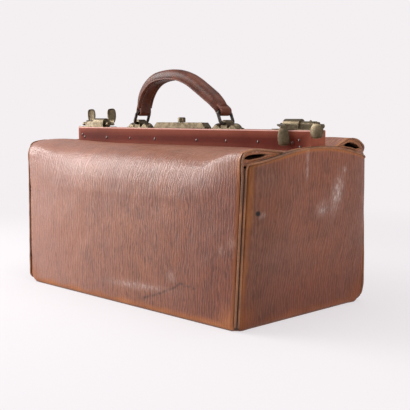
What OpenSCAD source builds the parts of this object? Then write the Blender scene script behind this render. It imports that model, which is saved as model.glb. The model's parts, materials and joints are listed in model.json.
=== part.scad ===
// Gladstone bag with a hinged steel frame, brass catches and a padded leather handle.
// The origin is the middle of the base, +X runs along the bag, the front faces -Y.

/* [Leather body] */
// Length of the body at its base
base_length = 440; // [400:1:470]
// Length of the body where the arched ends begin
top_length = 454; // [430:1:476]
// Depth of the body at its base, front to rear
base_depth = 249; // [235:1:270]
// Depth of the body at the shoulders
top_depth = 238; // [228:1:255]
// Height at which the arched ends begin
spring_height = 198; // [192:1:201]
// Rise of the arched ends above that height
arch_rise = 17.5; // [14:0.5:20]
// How far the end panels bulge past the corners
end_bulge = 17.2; // [16.6:0.1:20]
// Thickness of a leather panel with its lining board
panel_t = 2.6; // [2:0.1:2.9]
// Thickness of the stiffening board in the base
board_t = 3; // [1:0.5:5]
// Thickness of the lining
lining_t = 1; // [0.5:0.1:1.5]
// How far the top edge of the lining lies below the start of the arched ends
lining_drop = 20; // [14:1:80]
// Radius of the front shoulder
shoulder_r = 14; // [11:0.5:15]
// How much higher the rear shoulder stands than the front one
rear_puff = 13; // [0:0.5:16]
// Radius of a welt beside a corner
welt_r = 2; // [1:0.1:2.5]

/* [Hinged frame] */
// Clearance between the frame's ends and the end panels
frame_clearance = 1.6; // [0.8:0.1:2.6]
// Depth of one jaw, front to rear
jaw_depth = 14.5; // [14:0.1:18]
// Height of the top of the jaws above the start of the arched ends
jaw_rise = 39; // [36:0.5:47]
// Height of the covered front face of a jaw
jaw_height = 31; // [28:0.5:33]
// Thickness of the leather wrapped round a jaw
wrap_t = 1.3; // [0.8:0.1:1.6]
// Thickness of the steel channel inside a jaw
steel_t = 1.5; // [1:0.1:2]
// How far the hinge pins lie below the start of the arched ends
hinge_drop = 76; // [74:1:80]
// Thickness of a frame arm
arm_t = 2.3; // [1.6:0.1:2.5]
// Radius of the round end of a frame arm
arm_end_r = 8; // [6:0.5:10]
// Radius of a hinge pin
hinge_pin_r = 2.5; // [1.5:0.1:3.5]
// Distance between the rivets along a jaw
rivet_pitch = 57.6; // [50:0.2:60]
// Number of rivets on each side of the lock
rivets_per_side = 4; // [1:1:4]
// Radius of a rivet head on the frame
rivet_head_r = 2.2; // [1.6:0.1:2.8]
// Radius of a rivet shank
rivet_r = 1.1; // [0.7:0.1:1.3]

/* [Handle] */
// Distance between the two ring bars in the plates
ring_spacing = 182; // [176:1:190]
// Distance between the two ring bars in the handle ends
handle_spacing = 168; // [162:1:176]
// Height of the ring bars above the jaws
ring_bar_height = 7; // [6.9:0.1:9]
// Height of a ring between its two bars
ring_height = 17; // [16.5:0.5:20]
// Width of a ring between the middles of its sides
ring_width = 25; // [24:0.5:30]
// Radius of the ring wire
ring_wire_r = 2.2; // [1.6:0.1:2.4]
// Width of the grip at its middle
grip_width = 28; // [24:0.5:32]
// Height of the padded crown above the middle of the grip
grip_crown = 10; // [7:0.5:12]
// Depth of the flat underside below the middle of the grip
grip_under = 5; // [4:0.5:6]
// Rise of the handle's centre line above the ring bars in its ends
handle_rise = 50; // [40:1:60]
// Thickness of the leather round the handle's core
grip_skin_t = 2; // [1:0.1:2.5]

/* [Lock] */
// Length of the lock case
lock_length = 107; // [90:1:110]
// Height of the lock case
lock_height = 8.5; // [8:0.1:10]
// Wall of the lock case
lock_wall = 1.9; // [1.2:0.1:2]
// Travel of the lock knob
lock_travel = 8; // [6:0.5:10]
// Radius of the lock knob
lock_knob_r = 5.5; // [4:0.1:6.5]
// Height of the lock knob
lock_knob_height = 7; // [4:0.5:9]

/* [Catches] */
// Distance of a catch's middle from the end of the frame
catch_inset = 24; // [23:0.5:26]
// Radius of a catch spindle
spindle_r = 2; // [1.5:0.1:2.2]
// Height of the spindle above the jaws
spindle_height = 5; // [4.8:0.1:6]
// Width of an ear
ear_width = 17; // [14:0.5:17.5]
// Length of an ear
ear_length = 26; // [20:0.5:27]
// Thickness of an ear
ear_t = 2; // [1.5:0.1:2.4]
// Angle by which the ears turn away from each other
ear_splay = 14; // [5:1:16]
// Thickness of the brass base plates
plate_t = 1.4; // [1:0.1:2]

/* [Hidden] */
$fn = 48;
// Clearance between pieces that only lie beside each other
seat_gap = 0.3;
// Radial clearance of a pin in its bore
running_fit = 0.05;
// A cut runs this much past the face that it opens
over = 1;
// Colours
leather_colour = [0.46, 0.27, 0.17];
wrap_colour = [0.48, 0.20, 0.14];
steel_colour = [0.35, 0.33, 0.31];
brass_colour = [0.55, 0.48, 0.33];
iron_colour = [0.16, 0.14, 0.13];
lining_colour = [0.62, 0.50, 0.36];

function mix(a, b, t) = a + (b - a) * t;
function clamp(t) = max(0, min(1, t));
function smooth(t) = clamp(t) * clamp(t) * (3 - 2 * clamp(t));

// Half length and half depth of the tapered body at a height
function half_length(z) = mix(base_length, top_length, z / spring_height) / 2;
function half_depth(z) = mix(base_depth, top_depth, z / spring_height) / 2;

// Outer face of an end panel: flat at its edges and base, bulged where the frame swings
bulge_start = 15;
bulge_full = spring_height - 18;
function bulge(u, z) =
    end_bulge * (1 - pow(abs(u), 8)) * smooth((z - bulge_start) / (bulge_full - bulge_start));
function end_face(u, z) = half_length(z) + bulge(u, z);
function arch(u) = spring_height + arch_rise * cos(90 * u);

// A closed skin over a row of point rings with the same number of points each
function skin_faces(rows, n) = [
    for (i = [0:rows - 2], j = [0:n - 1])
        each [[i * n + j, (i + 1) * n + (j + 1) % n, i * n + (j + 1) % n],
              [i * n + j, (i + 1) * n + j, (i + 1) * n + (j + 1) % n]],
    [for (j = [0:n - 1]) j],
    [for (j = [0:n - 1]) rows * n - 1 - j]];
module skin(rings) {
    polyhedron([for (r = rings, p = r) p], skin_faces(len(rings), len(rings[0])), convexity = 6);
}

module both_ends() {
    children();
    mirror([1, 0, 0]) children();
}
module rear_side() {
    mirror([0, 1, 0]) children();
}
// A bar along X with the profile given in Y and Z
module along_x(x0, x1) {
    translate([x0, 0, 0]) rotate([90, 0, 90]) linear_extrude(x1 - x0) children();
}
// A bar along Y with the profile given in X and Z
module along_y(y0, y1) {
    translate([0, y1, 0]) rotate([90, 0, 0]) linear_extrude(y1 - y0) children();
}
module box(x0, x1, y0, y1, z0, z1) {
    translate([x0, y0, z0]) cube([x1 - x0, y1 - y0, z1 - z0]);
}

// Leather body

// A leaning panel from the base to the shoulder, seen from the front
module side_panel() {
    skin([for (z = [0, spring_height]) [
        [-half_length(z), -half_depth(z), z],
        [half_length(z), -half_depth(z), z],
        [half_length(z), panel_t - half_depth(z), z],
        [-half_length(z), panel_t - half_depth(z), z]]]);
}
module front_panel() color(leather_colour) side_panel();
module rear_panel() color(leather_colour) rear_side() side_panel();

end_columns = 24;
end_rows = 14;
// Outline of the end panel at one place across its width, up the outside and down the inside
function end_ring(u) = let (
    zs = [for (k = [0:end_rows]) arch(u) * k / end_rows],
    outer = [for (z = zs) [end_face(u, z), u * (half_depth(z) - panel_t), z]],
    inner = [for (k = [end_rows:-1:0]) outer[k] - [panel_t, 0, 0]]
) concat(outer, inner);
module end_panel() {
    skin([for (i = [end_columns:-1:0]) end_ring(2 * i / end_columns - 1)]);
}
module right_end_panel() color(leather_colour) end_panel();
module left_end_panel() color(leather_colour) mirror([1, 0, 0]) end_panel();

// The base leather lies between the four panels
module bottom_panel() color(leather_colour)
    box(-base_length / 2 + panel_t + seat_gap, base_length / 2 - panel_t - seat_gap,
        -base_depth / 2 + panel_t + seat_gap, base_depth / 2 - panel_t - seat_gap, 0, panel_t);

board_margin = 2;
board_top = panel_t + board_t;
module base_board() color(lining_colour)
    box(-base_length / 2 + panel_t + board_margin, base_length / 2 - panel_t - board_margin,
        -base_depth / 2 + panel_t + board_margin, base_depth / 2 - panel_t - board_margin,
        panel_t, board_top);

// The lining is an open box that leans with the panels
lining_height = spring_height - lining_drop;
lining_end_gap = 1.5;
function lining_ring(z, wall) = let (
    x = half_length(z) - panel_t - lining_end_gap - wall,
    y = half_depth(z) - panel_t - seat_gap - wall
) [[-x, -y, z], [x, -y, z], [x, y, z], [-x, y, z]];
module lining() color(lining_colour) difference() {
    skin([lining_ring(board_top, 0), lining_ring(lining_height, 0)]);
    skin([lining_ring(board_top + lining_t, lining_t), lining_ring(lining_height + over, lining_t)]);
}

// Two round welts stand beside each upright corner
welt_foot = 3;
module welt(dx, dy) {
    low = [half_length(welt_foot) + dx, -half_depth(welt_foot) + dy, welt_foot];
    high = [half_length(spring_height) + dx, -half_depth(spring_height) + dy, spring_height];
    run = high - low;
    across = norm([run.x, run.y]);
    translate(low) rotate([0, atan2(across, run.z), atan2(run.y, run.x)])
        cylinder(h = norm(run), r = welt_r);
}
welt_seat = welt_r + 0.1;
module corner_welts() color(leather_colour) both_ends() {
    welt(welt_seat, welt_r);
    welt(-welt_r, -welt_seat);
    rear_side() welt(welt_seat, welt_r);
    rear_side() welt(-welt_r, -welt_seat);
}

// A rolled edge of leather lies along each arch, just inside the end panel
binding_r = 1.5;
binding_reach = 0.9;
binding_steps = 24;
binding_seat = 0.1;
function binding_point(u) = [end_face(u, arch(u)) - panel_t / 2, u * (half_depth(spring_height) - panel_t),
    arch(u) + binding_r + binding_seat];
function binding_ring(u) = let (p = binding_point(u))
    [for (k = [0:7]) p + binding_r * [cos(45 * k), 0, sin(45 * k)]];
module end_bindings() color(leather_colour) both_ends()
    skin([for (i = [0:binding_steps]) binding_ring(binding_reach * (1 - 2 * i / binding_steps))]);

// Shoulders close the bag between the panels and the jaws
jaw_top = spring_height + jaw_rise;
jaw_low = jaw_top - jaw_height;
shoulder_end = half_length(spring_height) - panel_t - seat_gap;
shoulder_top = spring_height + shoulder_r;
shoulder_join = shoulder_top + 2;
shoulder_steps = 8;
shoulder_edge = jaw_depth + seat_gap;
// Height of a shoulder's outer face at a distance from the middle of the bag
function shoulder_rise(y, puff) =
    let (t = (half_depth(spring_height) - y) / (half_depth(spring_height) - shoulder_edge))
    puff * pow(max(0, sin(180 * pow(clamp(t), 0.8))), 1.4);
function shoulder_arc(r, puff) = [for (k = [0:shoulder_steps]) let (
        a = 90 * k / shoulder_steps,
        y = half_depth(spring_height) - shoulder_r + r * cos(a)
    ) [-y, spring_height + r * sin(a) + shoulder_rise(y, puff)]];
function shoulder_flat(drop, puff) = [for (k = [1:shoulder_steps]) let (
        y = mix(half_depth(spring_height) - shoulder_r, shoulder_edge, k / shoulder_steps)
    ) [-y, mix(shoulder_top, shoulder_join, k / shoulder_steps) - drop + shoulder_rise(y, puff)]];
function shoulder_side(drop, puff) = concat(shoulder_arc(shoulder_r - drop, puff), shoulder_flat(drop, puff));
function reversed(list) = [for (k = [len(list) - 1:-1:0]) list[k]];
module shoulder(puff) along_x(-shoulder_end, shoulder_end)
    polygon(concat(shoulder_side(0, puff), reversed(shoulder_side(panel_t, puff))));
module front_shoulder() color(leather_colour) shoulder(0);
module rear_shoulder() color(leather_colour) rear_side() shoulder(rear_puff);

// Folded leather closes each top corner and leaves a dark triangular mouth
pleat_reach = 9;
pleat_outer = 104;
pleat_inner = 44;
pleat_t = 2;
pleat_steps = 8;
pleat_sink = 4.5;
pleat_mouth = 0.5;
function pleat_low(y) = arch(y / half_depth(spring_height)) - pleat_sink;
module pleat_profile(puff) {
    ys = [for (k = [0:pleat_steps]) mix(pleat_outer, pleat_inner, k / pleat_steps)];
    top = [for (y = ys)
        [-y, mix(shoulder_top, shoulder_join, (pleat_outer - y) / (pleat_outer - shoulder_edge))
            + shoulder_rise(y, puff)]];
    low = [for (y = ys) [-y, min(pleat_low(y), top[0].y - 2 * pleat_t)]];
    difference() {
        polygon(concat(top, reversed(low)));
        polygon(concat([for (k = [1:pleat_steps - 1]) top[k] - [0, pleat_t]],
            [for (k = [pleat_steps - 1:-1:1])
                [low[k].x, min(low[k].y + pleat_t, top[k].y - pleat_t - pleat_mouth)]]));
    }
}
module pleat(puff) along_x(shoulder_end + seat_gap, shoulder_end + pleat_reach) pleat_profile(puff);
module front_corner_pleats() color(leather_colour) both_ends() pleat(0);
module rear_corner_pleats() color(leather_colour) both_ends() rear_side() pleat(rear_puff);

// Hinged frame, drawn as its front jaw and turned about for the rear one

jaw_gap = 0.15;
frame_x = end_face(0, spring_height) - panel_t - frame_clearance;
steel_top = jaw_top - wrap_t;
channel_back = jaw_depth - wrap_t;
channel_front = jaw_gap + wrap_t;
hinge_height = spring_height - hinge_drop;
bracket_t = 2;
bracket_half = 14;
bracket_below = 10;
bracket_above = 18;
bracket_low = hinge_height - bracket_below;
bracket_high = hinge_height + bracket_above;
bracket_face = end_face(0, bracket_low) - panel_t - seat_gap - bracket_t;
rear_arm_x = bracket_face - seat_gap - arm_t;
front_arm_x = rear_arm_x - seat_gap - arm_t;
head_t = 2;
// The steel ends this much above the edge of its leather
steel_rise = wrap_t;

rivet_shift = -6.5;
rivet_start = 44.5;
rivet_drop = 16;
extra_rivets = [[10 - frame_x, jaw_top - 12], [frame_x - 18.5, jaw_top - 12.5], [frame_x - 17, jaw_top - 21]];
function rivet_row(shift) = [for (s = [-1, 1], k = [0:rivets_per_side - 1])
    [shift + s * (rivet_start + rivet_pitch * k), jaw_top - rivet_drop]];
// Every place at which the frame's face is riveted
module at_rivets(shift, extra) {
    for (p = concat(rivet_row(shift), extra)) translate([p.x, -jaw_depth, p.y]) rotate([90, 0, 0]) children();
}
module rivet_holes(shift, extra) {
    at_rivets(shift, extra) translate([0, 0, -wrap_t - steel_t - over])
        cylinder(h = wrap_t + steel_t + 2 * over, r = rivet_r + running_fit, $fn = 24);
}
rivet_head_h = 1;
module rivet() {
    translate([0, 0, -wrap_t - steel_t]) cylinder(h = wrap_t + steel_t + 0.2, r = rivet_r, $fn = 24);
    intersection() {
        cylinder(h = rivet_head_h, r = rivet_head_r, $fn = 24);
        translate([0, 0, rivet_head_h - cap_r(rivet_head_r, rivet_head_h)])
            sphere(r = cap_r(rivet_head_r, rivet_head_h), $fn = 32);
    }
}
// Radius of the ball whose cap has this base radius and height
function cap_r(base, height) = (base * base + height * height) / (2 * height);

// A flat arm from the channel down to the hinge pin: straight at first, then tapered to its round end
arm_taper_front = jaw_low - 8;
arm_taper_back = jaw_low - 4;
arm_taper_low = hinge_height + 3;
arm_low_front = arm_end_r - 0.7;
module arm(x) difference() {
    along_x(x, x + arm_t) {
        polygon([[-channel_back + steel_t, steel_top - steel_t],
            [-channel_front - steel_t, steel_top - steel_t],
            [-channel_front - steel_t, arm_taper_front], [arm_low_front, arm_taper_low],
            [-arm_low_front, arm_taper_low], [-channel_back + steel_t, arm_taper_back]]);
        translate([0, hinge_height]) circle(r = arm_end_r);
    }
    translate([x - over, 0, hinge_height]) rotate([0, 90, 0])
        cylinder(h = arm_t + 2 * over, r = hinge_pin_r + running_fit);
}
module jaw_frame(arm_x, shift, extra) {
    difference() {
        box(-frame_x + wrap_t, frame_x - wrap_t, -channel_back, -channel_front,
            jaw_low + steel_rise, steel_top);
        box(-frame_x + wrap_t + steel_t, frame_x - wrap_t - steel_t, -channel_back + steel_t,
            -channel_front - steel_t, jaw_low, steel_top - steel_t);
        rivet_holes(shift, extra);
    }
    both_ends() arm(arm_x);
}
module jaw_cover(shift, extra) difference() {
    box(-frame_x, frame_x, -jaw_depth, -jaw_gap, jaw_low, jaw_top);
    box(-frame_x + wrap_t, frame_x - wrap_t, -channel_back, -channel_front, jaw_low - over, steel_top);
    rivet_holes(shift, extra);
}
module front_jaw_frame() color(steel_colour) jaw_frame(front_arm_x, rivet_shift, extra_rivets);
module rear_jaw_frame() color(steel_colour) rear_side() jaw_frame(rear_arm_x, 0, []);
module front_jaw_cover() color(wrap_colour) difference() {
    jaw_cover(rivet_shift, extra_rivets);
    at_plate_rivets() plate_rivet_hole();
}
module rear_jaw_cover() color(wrap_colour) rear_side() jaw_cover(0, []);
module front_frame_rivets() color(iron_colour) at_rivets(rivet_shift, extra_rivets) rivet();
module rear_frame_rivets() color(iron_colour) rear_side() at_rivets(0, []) rivet();

// The hinge pins turn in both arms and are fixed in brackets on the end panels
pin_seat_fit = 0.01;
module hinge_brackets() color(steel_colour) both_ends() difference() {
    box(bracket_face, bracket_face + bracket_t, -bracket_half, bracket_half, bracket_low, bracket_high);
    translate([bracket_face - over, 0, hinge_height]) rotate([0, 90, 0])
        cylinder(h = bracket_t + 2 * over, r = hinge_pin_r + pin_seat_fit);
}
pin_head_r = 5;
module hinge_pins() color(steel_colour) both_ends() translate([0, 0, hinge_height]) rotate([0, 90, 0]) {
    translate([0, 0, front_arm_x - seat_gap - head_t]) cylinder(h = head_t, r = pin_head_r);
    translate([0, 0, front_arm_x - seat_gap - 0.1])
        cylinder(h = bracket_face + bracket_t - front_arm_x + seat_gap + 0.1, r = hinge_pin_r);
}

// Handle hardware on the front jaw

hardware_y = -jaw_depth / 2;
ring_z = jaw_top + ring_bar_height;
ring_plate_length = 58;
ring_plate_width = jaw_depth - 1.1;
tunnel_r = 5.4;
lobe_x = 15.3;
lobe_r = 9.5;
lobe_sink = 3;
module ring_plate() translate([ring_spacing / 2, hardware_y, 0]) difference() {
    union() {
        for (s = [-1, 1]) translate([s * (ring_plate_length - ring_plate_width) / 2, 0, jaw_top])
            cylinder(h = plate_t, r = ring_plate_width / 2);
        translate([0, 0, jaw_top + plate_t / 2])
            cube([ring_plate_length - ring_plate_width, ring_plate_width, plate_t], center = true);
        intersection() {
            translate([0, 0, jaw_top + lobe_r])
                cube([ring_plate_length, ring_plate_width, 2 * lobe_r], center = true);
            for (s = [-1, 1]) translate([s * lobe_x, 0, jaw_top + plate_t - lobe_sink]) sphere(r = lobe_r);
        }
        translate([-tunnel_r, -ring_plate_width / 2, jaw_top])
            cube([2 * tunnel_r, ring_plate_width, ring_bar_height]);
        translate([0, ring_plate_width / 2, ring_z]) rotate([90, 0, 0])
            cylinder(h = ring_plate_width, r = tunnel_r);
    }
    translate([0, ring_plate_width / 2 + over, ring_z]) rotate([90, 0, 0])
        cylinder(h = ring_plate_width + 2 * over, r = ring_wire_r + running_fit);
    for (s = [-1, 1]) translate([s * plate_rivet_x, 0, 0]) plate_rivet_hole();
}
module right_ring_plate() color(brass_colour) ring_plate();
module left_ring_plate() color(brass_colour) mirror([1, 0, 0]) ring_plate();

// Small rivets hold the ring plates down at their ends
plate_rivet_x = 26.5;
plate_rivet_r = 0.9;
plate_rivet_head_r = 1.6;
module at_plate_rivets() {
    for (e = [-1, 1], s = [-1, 1])
        translate([e * ring_spacing / 2 + s * plate_rivet_x, hardware_y, 0]) children();
}
module plate_rivet_hole() {
    translate([0, 0, steel_top])
        cylinder(h = wrap_t + plate_t + lobe_r, r = plate_rivet_r + running_fit, $fn = 24);
}
module plate_rivets() color(brass_colour) at_plate_rivets() {
    translate([0, 0, steel_top]) cylinder(h = wrap_t + plate_t + 0.2, r = plate_rivet_r, $fn = 24);
    translate([0, 0, jaw_top + plate_t]) cylinder(h = 0.8, r = plate_rivet_head_r, $fn = 24);
}

// Rings: a wire bent to a rounded rectangle that leans with the handle
ring_lean = atan2((ring_spacing - handle_spacing) / 2, ring_height);
ring_length = norm([(ring_spacing - handle_spacing) / 2, ring_height]);
ring_corner = 5;
ring_bend_lap = 0.3;
ring_bend_swell = 0.08;
module wire(length) translate([0, 0, -length / 2 - ring_bend_lap])
    cylinder(h = length + 2 * ring_bend_lap, r = ring_wire_r);
module bend() rotate_extrude(angle = 90)
    translate([ring_corner, 0]) circle(r = ring_wire_r + ring_bend_swell);
module ring() translate([ring_spacing / 2, hardware_y, ring_z]) rotate([0, -ring_lean, 0]) {
    straight = ring_width - 2 * ring_corner;
    for (z = [0, ring_length]) translate([0, 0, z]) rotate([90, 0, 0]) wire(straight);
    for (s = [-1, 1]) {
        translate([0, s * ring_width / 2, ring_length / 2]) wire(ring_length - 2 * ring_corner);
        translate([0, s * straight / 2, ring_corner]) rotate([0, 90, 0])
            rotate([0, 0, s > 0 ? 0 : -90]) bend();
        translate([0, s * straight / 2, ring_length - ring_corner]) rotate([0, 90, 0])
            rotate([0, 0, s > 0 ? 90 : 180]) bend();
    }
}
module right_ring() color(iron_colour) ring();
module left_ring() color(iron_colour) mirror([1, 0, 0]) ring();

// The grip follows points of its own centre line, as shares of its half length and rise
handle_z = ring_z + ring_height;
grip_line = [[-1, 0.02], [-0.98, 0.24], [-0.87, 0.46], [-0.75, 0.68], [-0.58, 0.88], [-0.35, 0.99],
    [-0.12, 1],
    [0.10, 0.94], [0.31, 0.80], [0.50, 0.60], [0.67, 0.39], [0.83, 0.22], [1, 0.04]];
grip_steps = 3;
function catmull(a, b, c, d, t) = 0.5 * (2 * b + (c - a) * t + (2 * a - 5 * b + 4 * c - d) * t * t
    + (3 * b - a - 3 * c + d) * t * t * t);
function line_point(i) = grip_line[max(0, min(len(grip_line) - 1, i))];
grip_count = (len(grip_line) - 1) * grip_steps;
function grip_at(k) = let (i = floor(min(k, grip_count - 0.001) / grip_steps), t = k / grip_steps - i,
        p = catmull(line_point(i - 1), line_point(i), line_point(i + 1), line_point(i + 2), t))
    [p.x * handle_spacing / 2, hardware_y, handle_z + p.y * handle_rise];
// Share of the full padding at each step: none at the ends, full over the hand's width
function padding(k) = smooth(min(k, grip_count - k) / (0.3 * grip_count));
end_width = 19.4;
end_crown = 4.5;
end_under = 3.5;
function grip_ring(k, inset) = let (
        d = grip_at(k + 0.5) - grip_at(k - 0.5),
        n = [-d.z, 0, d.x] / norm(d),
        w = mix(end_width, grip_width, padding(k)) / 2 - inset,
        up = mix(end_crown, grip_crown, padding(k)) - inset,
        down = mix(end_under, grip_under, padding(k)) - inset
    ) [for (j = [0:11]) let (a = 30 * j + 15, s = sin(a))
        grip_at(k) + [0, w * cos(a) * sqrt(1 - pow(abs(cos(a)), 4) * 0.25), 0]
            + n * (s > 0 ? up * s : down * s)];
module grip(first, last, inset) skin([for (k = [first:last]) grip_ring(k, inset)]);
core_start = 4;
// A leather loop holds each ring in the end of the grip
loop_t = 3;
loop_play = 0.7;
loop_outer_r = ring_wire_r + loop_play + loop_t;
loop_seat = 0.1;
end_loop_width = 14;
module handle_cover() color(wrap_colour) difference() {
    grip(0, grip_count, 0);
    grip(core_start, grip_count - core_start, grip_skin_t);
    for (side = [-1, 1]) translate([side * handle_spacing / 2, hardware_y + end_width, handle_z])
        rotate([90, 0, 0]) cylinder(h = 2 * end_width, r = loop_outer_r + loop_seat);
}
module handle_core() color(lining_colour) grip(core_start, grip_count - core_start, grip_skin_t);

module handle_loop(side) translate([side * handle_spacing / 2, hardware_y, handle_z]) rotate([90, 0, 0])
    difference() {
        translate([0, 0, -end_loop_width / 2]) cylinder(h = end_loop_width, r = loop_outer_r);
        translate([0, 0, -end_loop_width / 2 - over])
            cylinder(h = end_loop_width + 2 * over, r = ring_wire_r + loop_play);
    }
module handle_loops() color(wrap_colour) {
    handle_loop(-1);
    handle_loop(1);
}

// Lock: a case with a sliding bolt on the front jaw and a hook on the rear one

lock_top = jaw_top + lock_height;
lock_back = jaw_depth - 0.5;
lock_front = 0.6;
lock_bevel = 6;
cavity_top = lock_top - lock_wall;
cavity_back = lock_back - 2;
cavity_front = 2.6;
cavity_half = 30;
slot_half = 2.2;
slot_end = 3;
hook_x = -14.5;
hook_half = 4.5;
hook_low = jaw_top + 1.8;
hook_t = 1.2;
hook_tip = 9;
hook_lip_t = 1.5;
module lock_case() color(brass_colour) difference() {
    along_y(-lock_back, -lock_front) polygon([[-lock_length / 2, jaw_top], [-lock_length / 2, jaw_top + 2.5],
        [-lock_length / 2 + lock_bevel, lock_top], [lock_length / 2 - lock_bevel, lock_top],
        [lock_length / 2, jaw_top + 2.5], [lock_length / 2, jaw_top]]);
    box(-cavity_half, cavity_half, -cavity_back, -cavity_front, jaw_top - over, cavity_top);
    box(-lock_travel - slot_end, slot_end, hardware_y - slot_half, hardware_y + slot_half,
        cavity_top - over, lock_top + over);
    box(hook_x - hook_half - 0.5, hook_x + hook_half + 0.5, -cavity_front - over, 0,
        hook_low - 0.5, cavity_top);
}
bolt_low = hook_low + hook_t + 0.3;
bolt_high = cavity_top - 0.4;
bolt_back = hook_tip - hook_lip_t - 0.4;
bolt_front = 3.4;
bolt_nose = hook_x + hook_half + 0.6;
bolt_length = 26;
module lock_bolt() color(steel_colour)
    box(bolt_nose, bolt_nose + bolt_length, -bolt_back, -bolt_front, bolt_low, bolt_high);
stem_r = 1.9;
knob_low = lock_top + seat_gap;
knob_bevel = 1.2;
module lock_knob() color(brass_colour) {
    translate([0, hardware_y, knob_low]) cylinder(h = lock_knob_height - knob_bevel, r = lock_knob_r);
    translate([0, hardware_y, knob_low + lock_knob_height - knob_bevel])
        cylinder(h = knob_bevel, r1 = lock_knob_r, r2 = lock_knob_r - knob_bevel);
    translate([0, hardware_y, bolt_high]) cylinder(h = knob_low - bolt_high + over, r = stem_r);
}
hook_plate_half = 11;
module lock_hook() color(brass_colour) {
    box(hook_x - hook_plate_half, hook_x + hook_plate_half, lock_front, jaw_depth - 0.5,
        jaw_top, jaw_top + plate_t);
    box(hook_x - hook_half, hook_x + hook_half, lock_front, 4, jaw_top, hook_low + hook_t);
    box(hook_x - hook_half, hook_x + hook_half, -hook_tip, 4, hook_low, hook_low + hook_t);
    box(hook_x - hook_half, hook_x + hook_half, -hook_tip, hook_lip_t - hook_tip, hook_low, cavity_top - 0.5);
}

// Catches: a two-eared lever on a spindle through a domed housing at each end of the front jaw

spindle_y = 1;
spindle_z = jaw_top + spindle_height;
catch_x = frame_x - catch_inset;
housing_inner_reach = 29;
housing_step_reach = 3;
housing_outer_reach = 20;
housing_inner = catch_x - housing_inner_reach;
housing_step = catch_x - housing_step_reach;
housing_outer = catch_x + housing_outer_reach;
stud_inset = 9;
stud_x = housing_outer - stud_inset;
stud_r = 1.6;
housing_r = 7;
housing_low_r = 4.7;
housing_float = 0.5;
base_inner_reach = 40;
base_outer_reach = 23.5;
base_inner = catch_x - base_inner_reach;
base_outer = catch_x + base_outer_reach;
module housing(x0, x1, r, top) along_x(x0, x1) {
    translate([spindle_y, jaw_top + top - r]) circle(r = r);
    translate([spindle_y - r, jaw_top + housing_float]) square([2 * r, top - r - housing_float]);
}
housing_top = 14;
housing_low_top = 11;
module catch_base() difference() {
    union() {
        box(base_inner, base_outer, -jaw_depth + 0.5, -lock_front, jaw_top, jaw_top + plate_t);
        housing(housing_inner, housing_step, housing_r, housing_top);
        housing(housing_step, housing_outer, housing_low_r, housing_low_top);
        translate([stud_x, spindle_y, jaw_top + housing_low_top]) sphere(r = stud_r, $fn = 32);
    }
    translate([housing_inner - over, spindle_y, spindle_z]) rotate([0, 90, 0])
        cylinder(h = housing_outer - housing_inner + 2 * over, r = spindle_r + running_fit);
}
module right_catch_base() color(brass_colour) catch_base();
module left_catch_base() color(brass_colour) mirror([1, 0, 0]) catch_base();

// An oval ear with a raised rim round a shallow dish, standing in the plane of X and Z
ear_rim = 1.6;
ear_dish = 0.8;
module oval(width, length) polygon([for (k = [0:35]) [width / 2 * cos(10 * k), length / 2 * sin(10 * k)]]);
module ear(length) difference() {
    along_y(-ear_t / 2, ear_t / 2) oval(ear_width, length);
    along_y(-ear_t / 2 - over, ear_dish - ear_t / 2) oval(ear_width - 2 * ear_rim, length - 2 * ear_rim);
}
neck_width = 7;
neck_t = 3;
neck_boss = 1.6;
neck_sink = 0.4;
ear_stand = 5;
ear_y = -jaw_depth - ear_stand;
neck_front = -ear_y + neck_t / 2;
// The neck runs from the spindle over the edge of the jaw and down its face
module neck(x0, drop) along_x(x0, x0 + neck_width) {
    translate([spindle_y, spindle_z]) circle(r = spindle_r + neck_boss);
    translate([-neck_front + neck_t, spindle_z - neck_sink])
        square([neck_front - neck_t + spindle_y, neck_t]);
    translate([-neck_front, spindle_z - drop]) square([neck_t, drop - neck_sink]);
    intersection() {
        translate([-neck_front + neck_t, spindle_z - neck_sink]) circle(r = neck_t);
        translate([-neck_front, spindle_z - neck_sink]) square([neck_t, neck_t]);
    }
}
neck_gap = 0.8;
inner_neck_x = housing_inner - neck_gap - neck_width;
// The outer neck passes outside the end panel when the jaw swings
outer_neck_x = end_face(0, spring_height) + 2 * neck_gap;
outer_ear_offset = 5;
outer_ear_x = outer_neck_x + neck_width / 2 + outer_ear_offset;
outer_ear_less = 4;
ear_drop = 25;
// The inner ear hangs below the housing, so a strap in front of the jaw leads to it from its neck
inner_ear_offset = 20.5;
inner_ear_x = inner_neck_x + neck_width / 2 + inner_ear_offset;
strap_half = 3.5;
strap_fall = 3;
module ear_strap() along_y(-neck_front, neck_t - neck_front) polygon([
    [inner_neck_x, spindle_z - neck_sink],
    [inner_neck_x + neck_width, spindle_z - neck_sink],
    [inner_ear_x + strap_half, spindle_z - strap_fall],
    [inner_ear_x + strap_half, spindle_z - ear_drop / 2],
    [inner_ear_x - strap_half, spindle_z - ear_drop / 2],
    [inner_neck_x, spindle_z - neck_width]]);
// A closed lever: its ears hang in front of the jaw, the outer one by its own drop
module lever(outer_drop) {
    translate([inner_neck_x, spindle_y, spindle_z]) rotate([0, 90, 0])
        cylinder(h = outer_neck_x + neck_width - inner_neck_x, r = spindle_r);
    neck(inner_neck_x, neck_width);
    ear_strap();
    neck(outer_neck_x, min(ear_drop, outer_drop) / 2);
    translate([inner_ear_x, ear_y, spindle_z + ear_length / 2 - ear_drop])
        rotate([0, 0, -ear_splay]) ear(ear_length);
    translate([outer_ear_x, ear_y, spindle_z + ear_length / 2 - outer_drop])
        rotate([0, 0, ear_splay]) ear(ear_length - outer_ear_less);
}
right_outer_drop = 17;
left_outer_drop = 25;
module right_catch_lever() color(brass_colour) lever(right_outer_drop);
// The left catch stands open, turned over its spindle
module left_catch_lever() color(brass_colour) mirror([1, 0, 0])
    translate([0, spindle_y, spindle_z]) rotate([180, 0, 0]) translate([0, -spindle_y, -spindle_z])
        lever(left_outer_drop);

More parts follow.
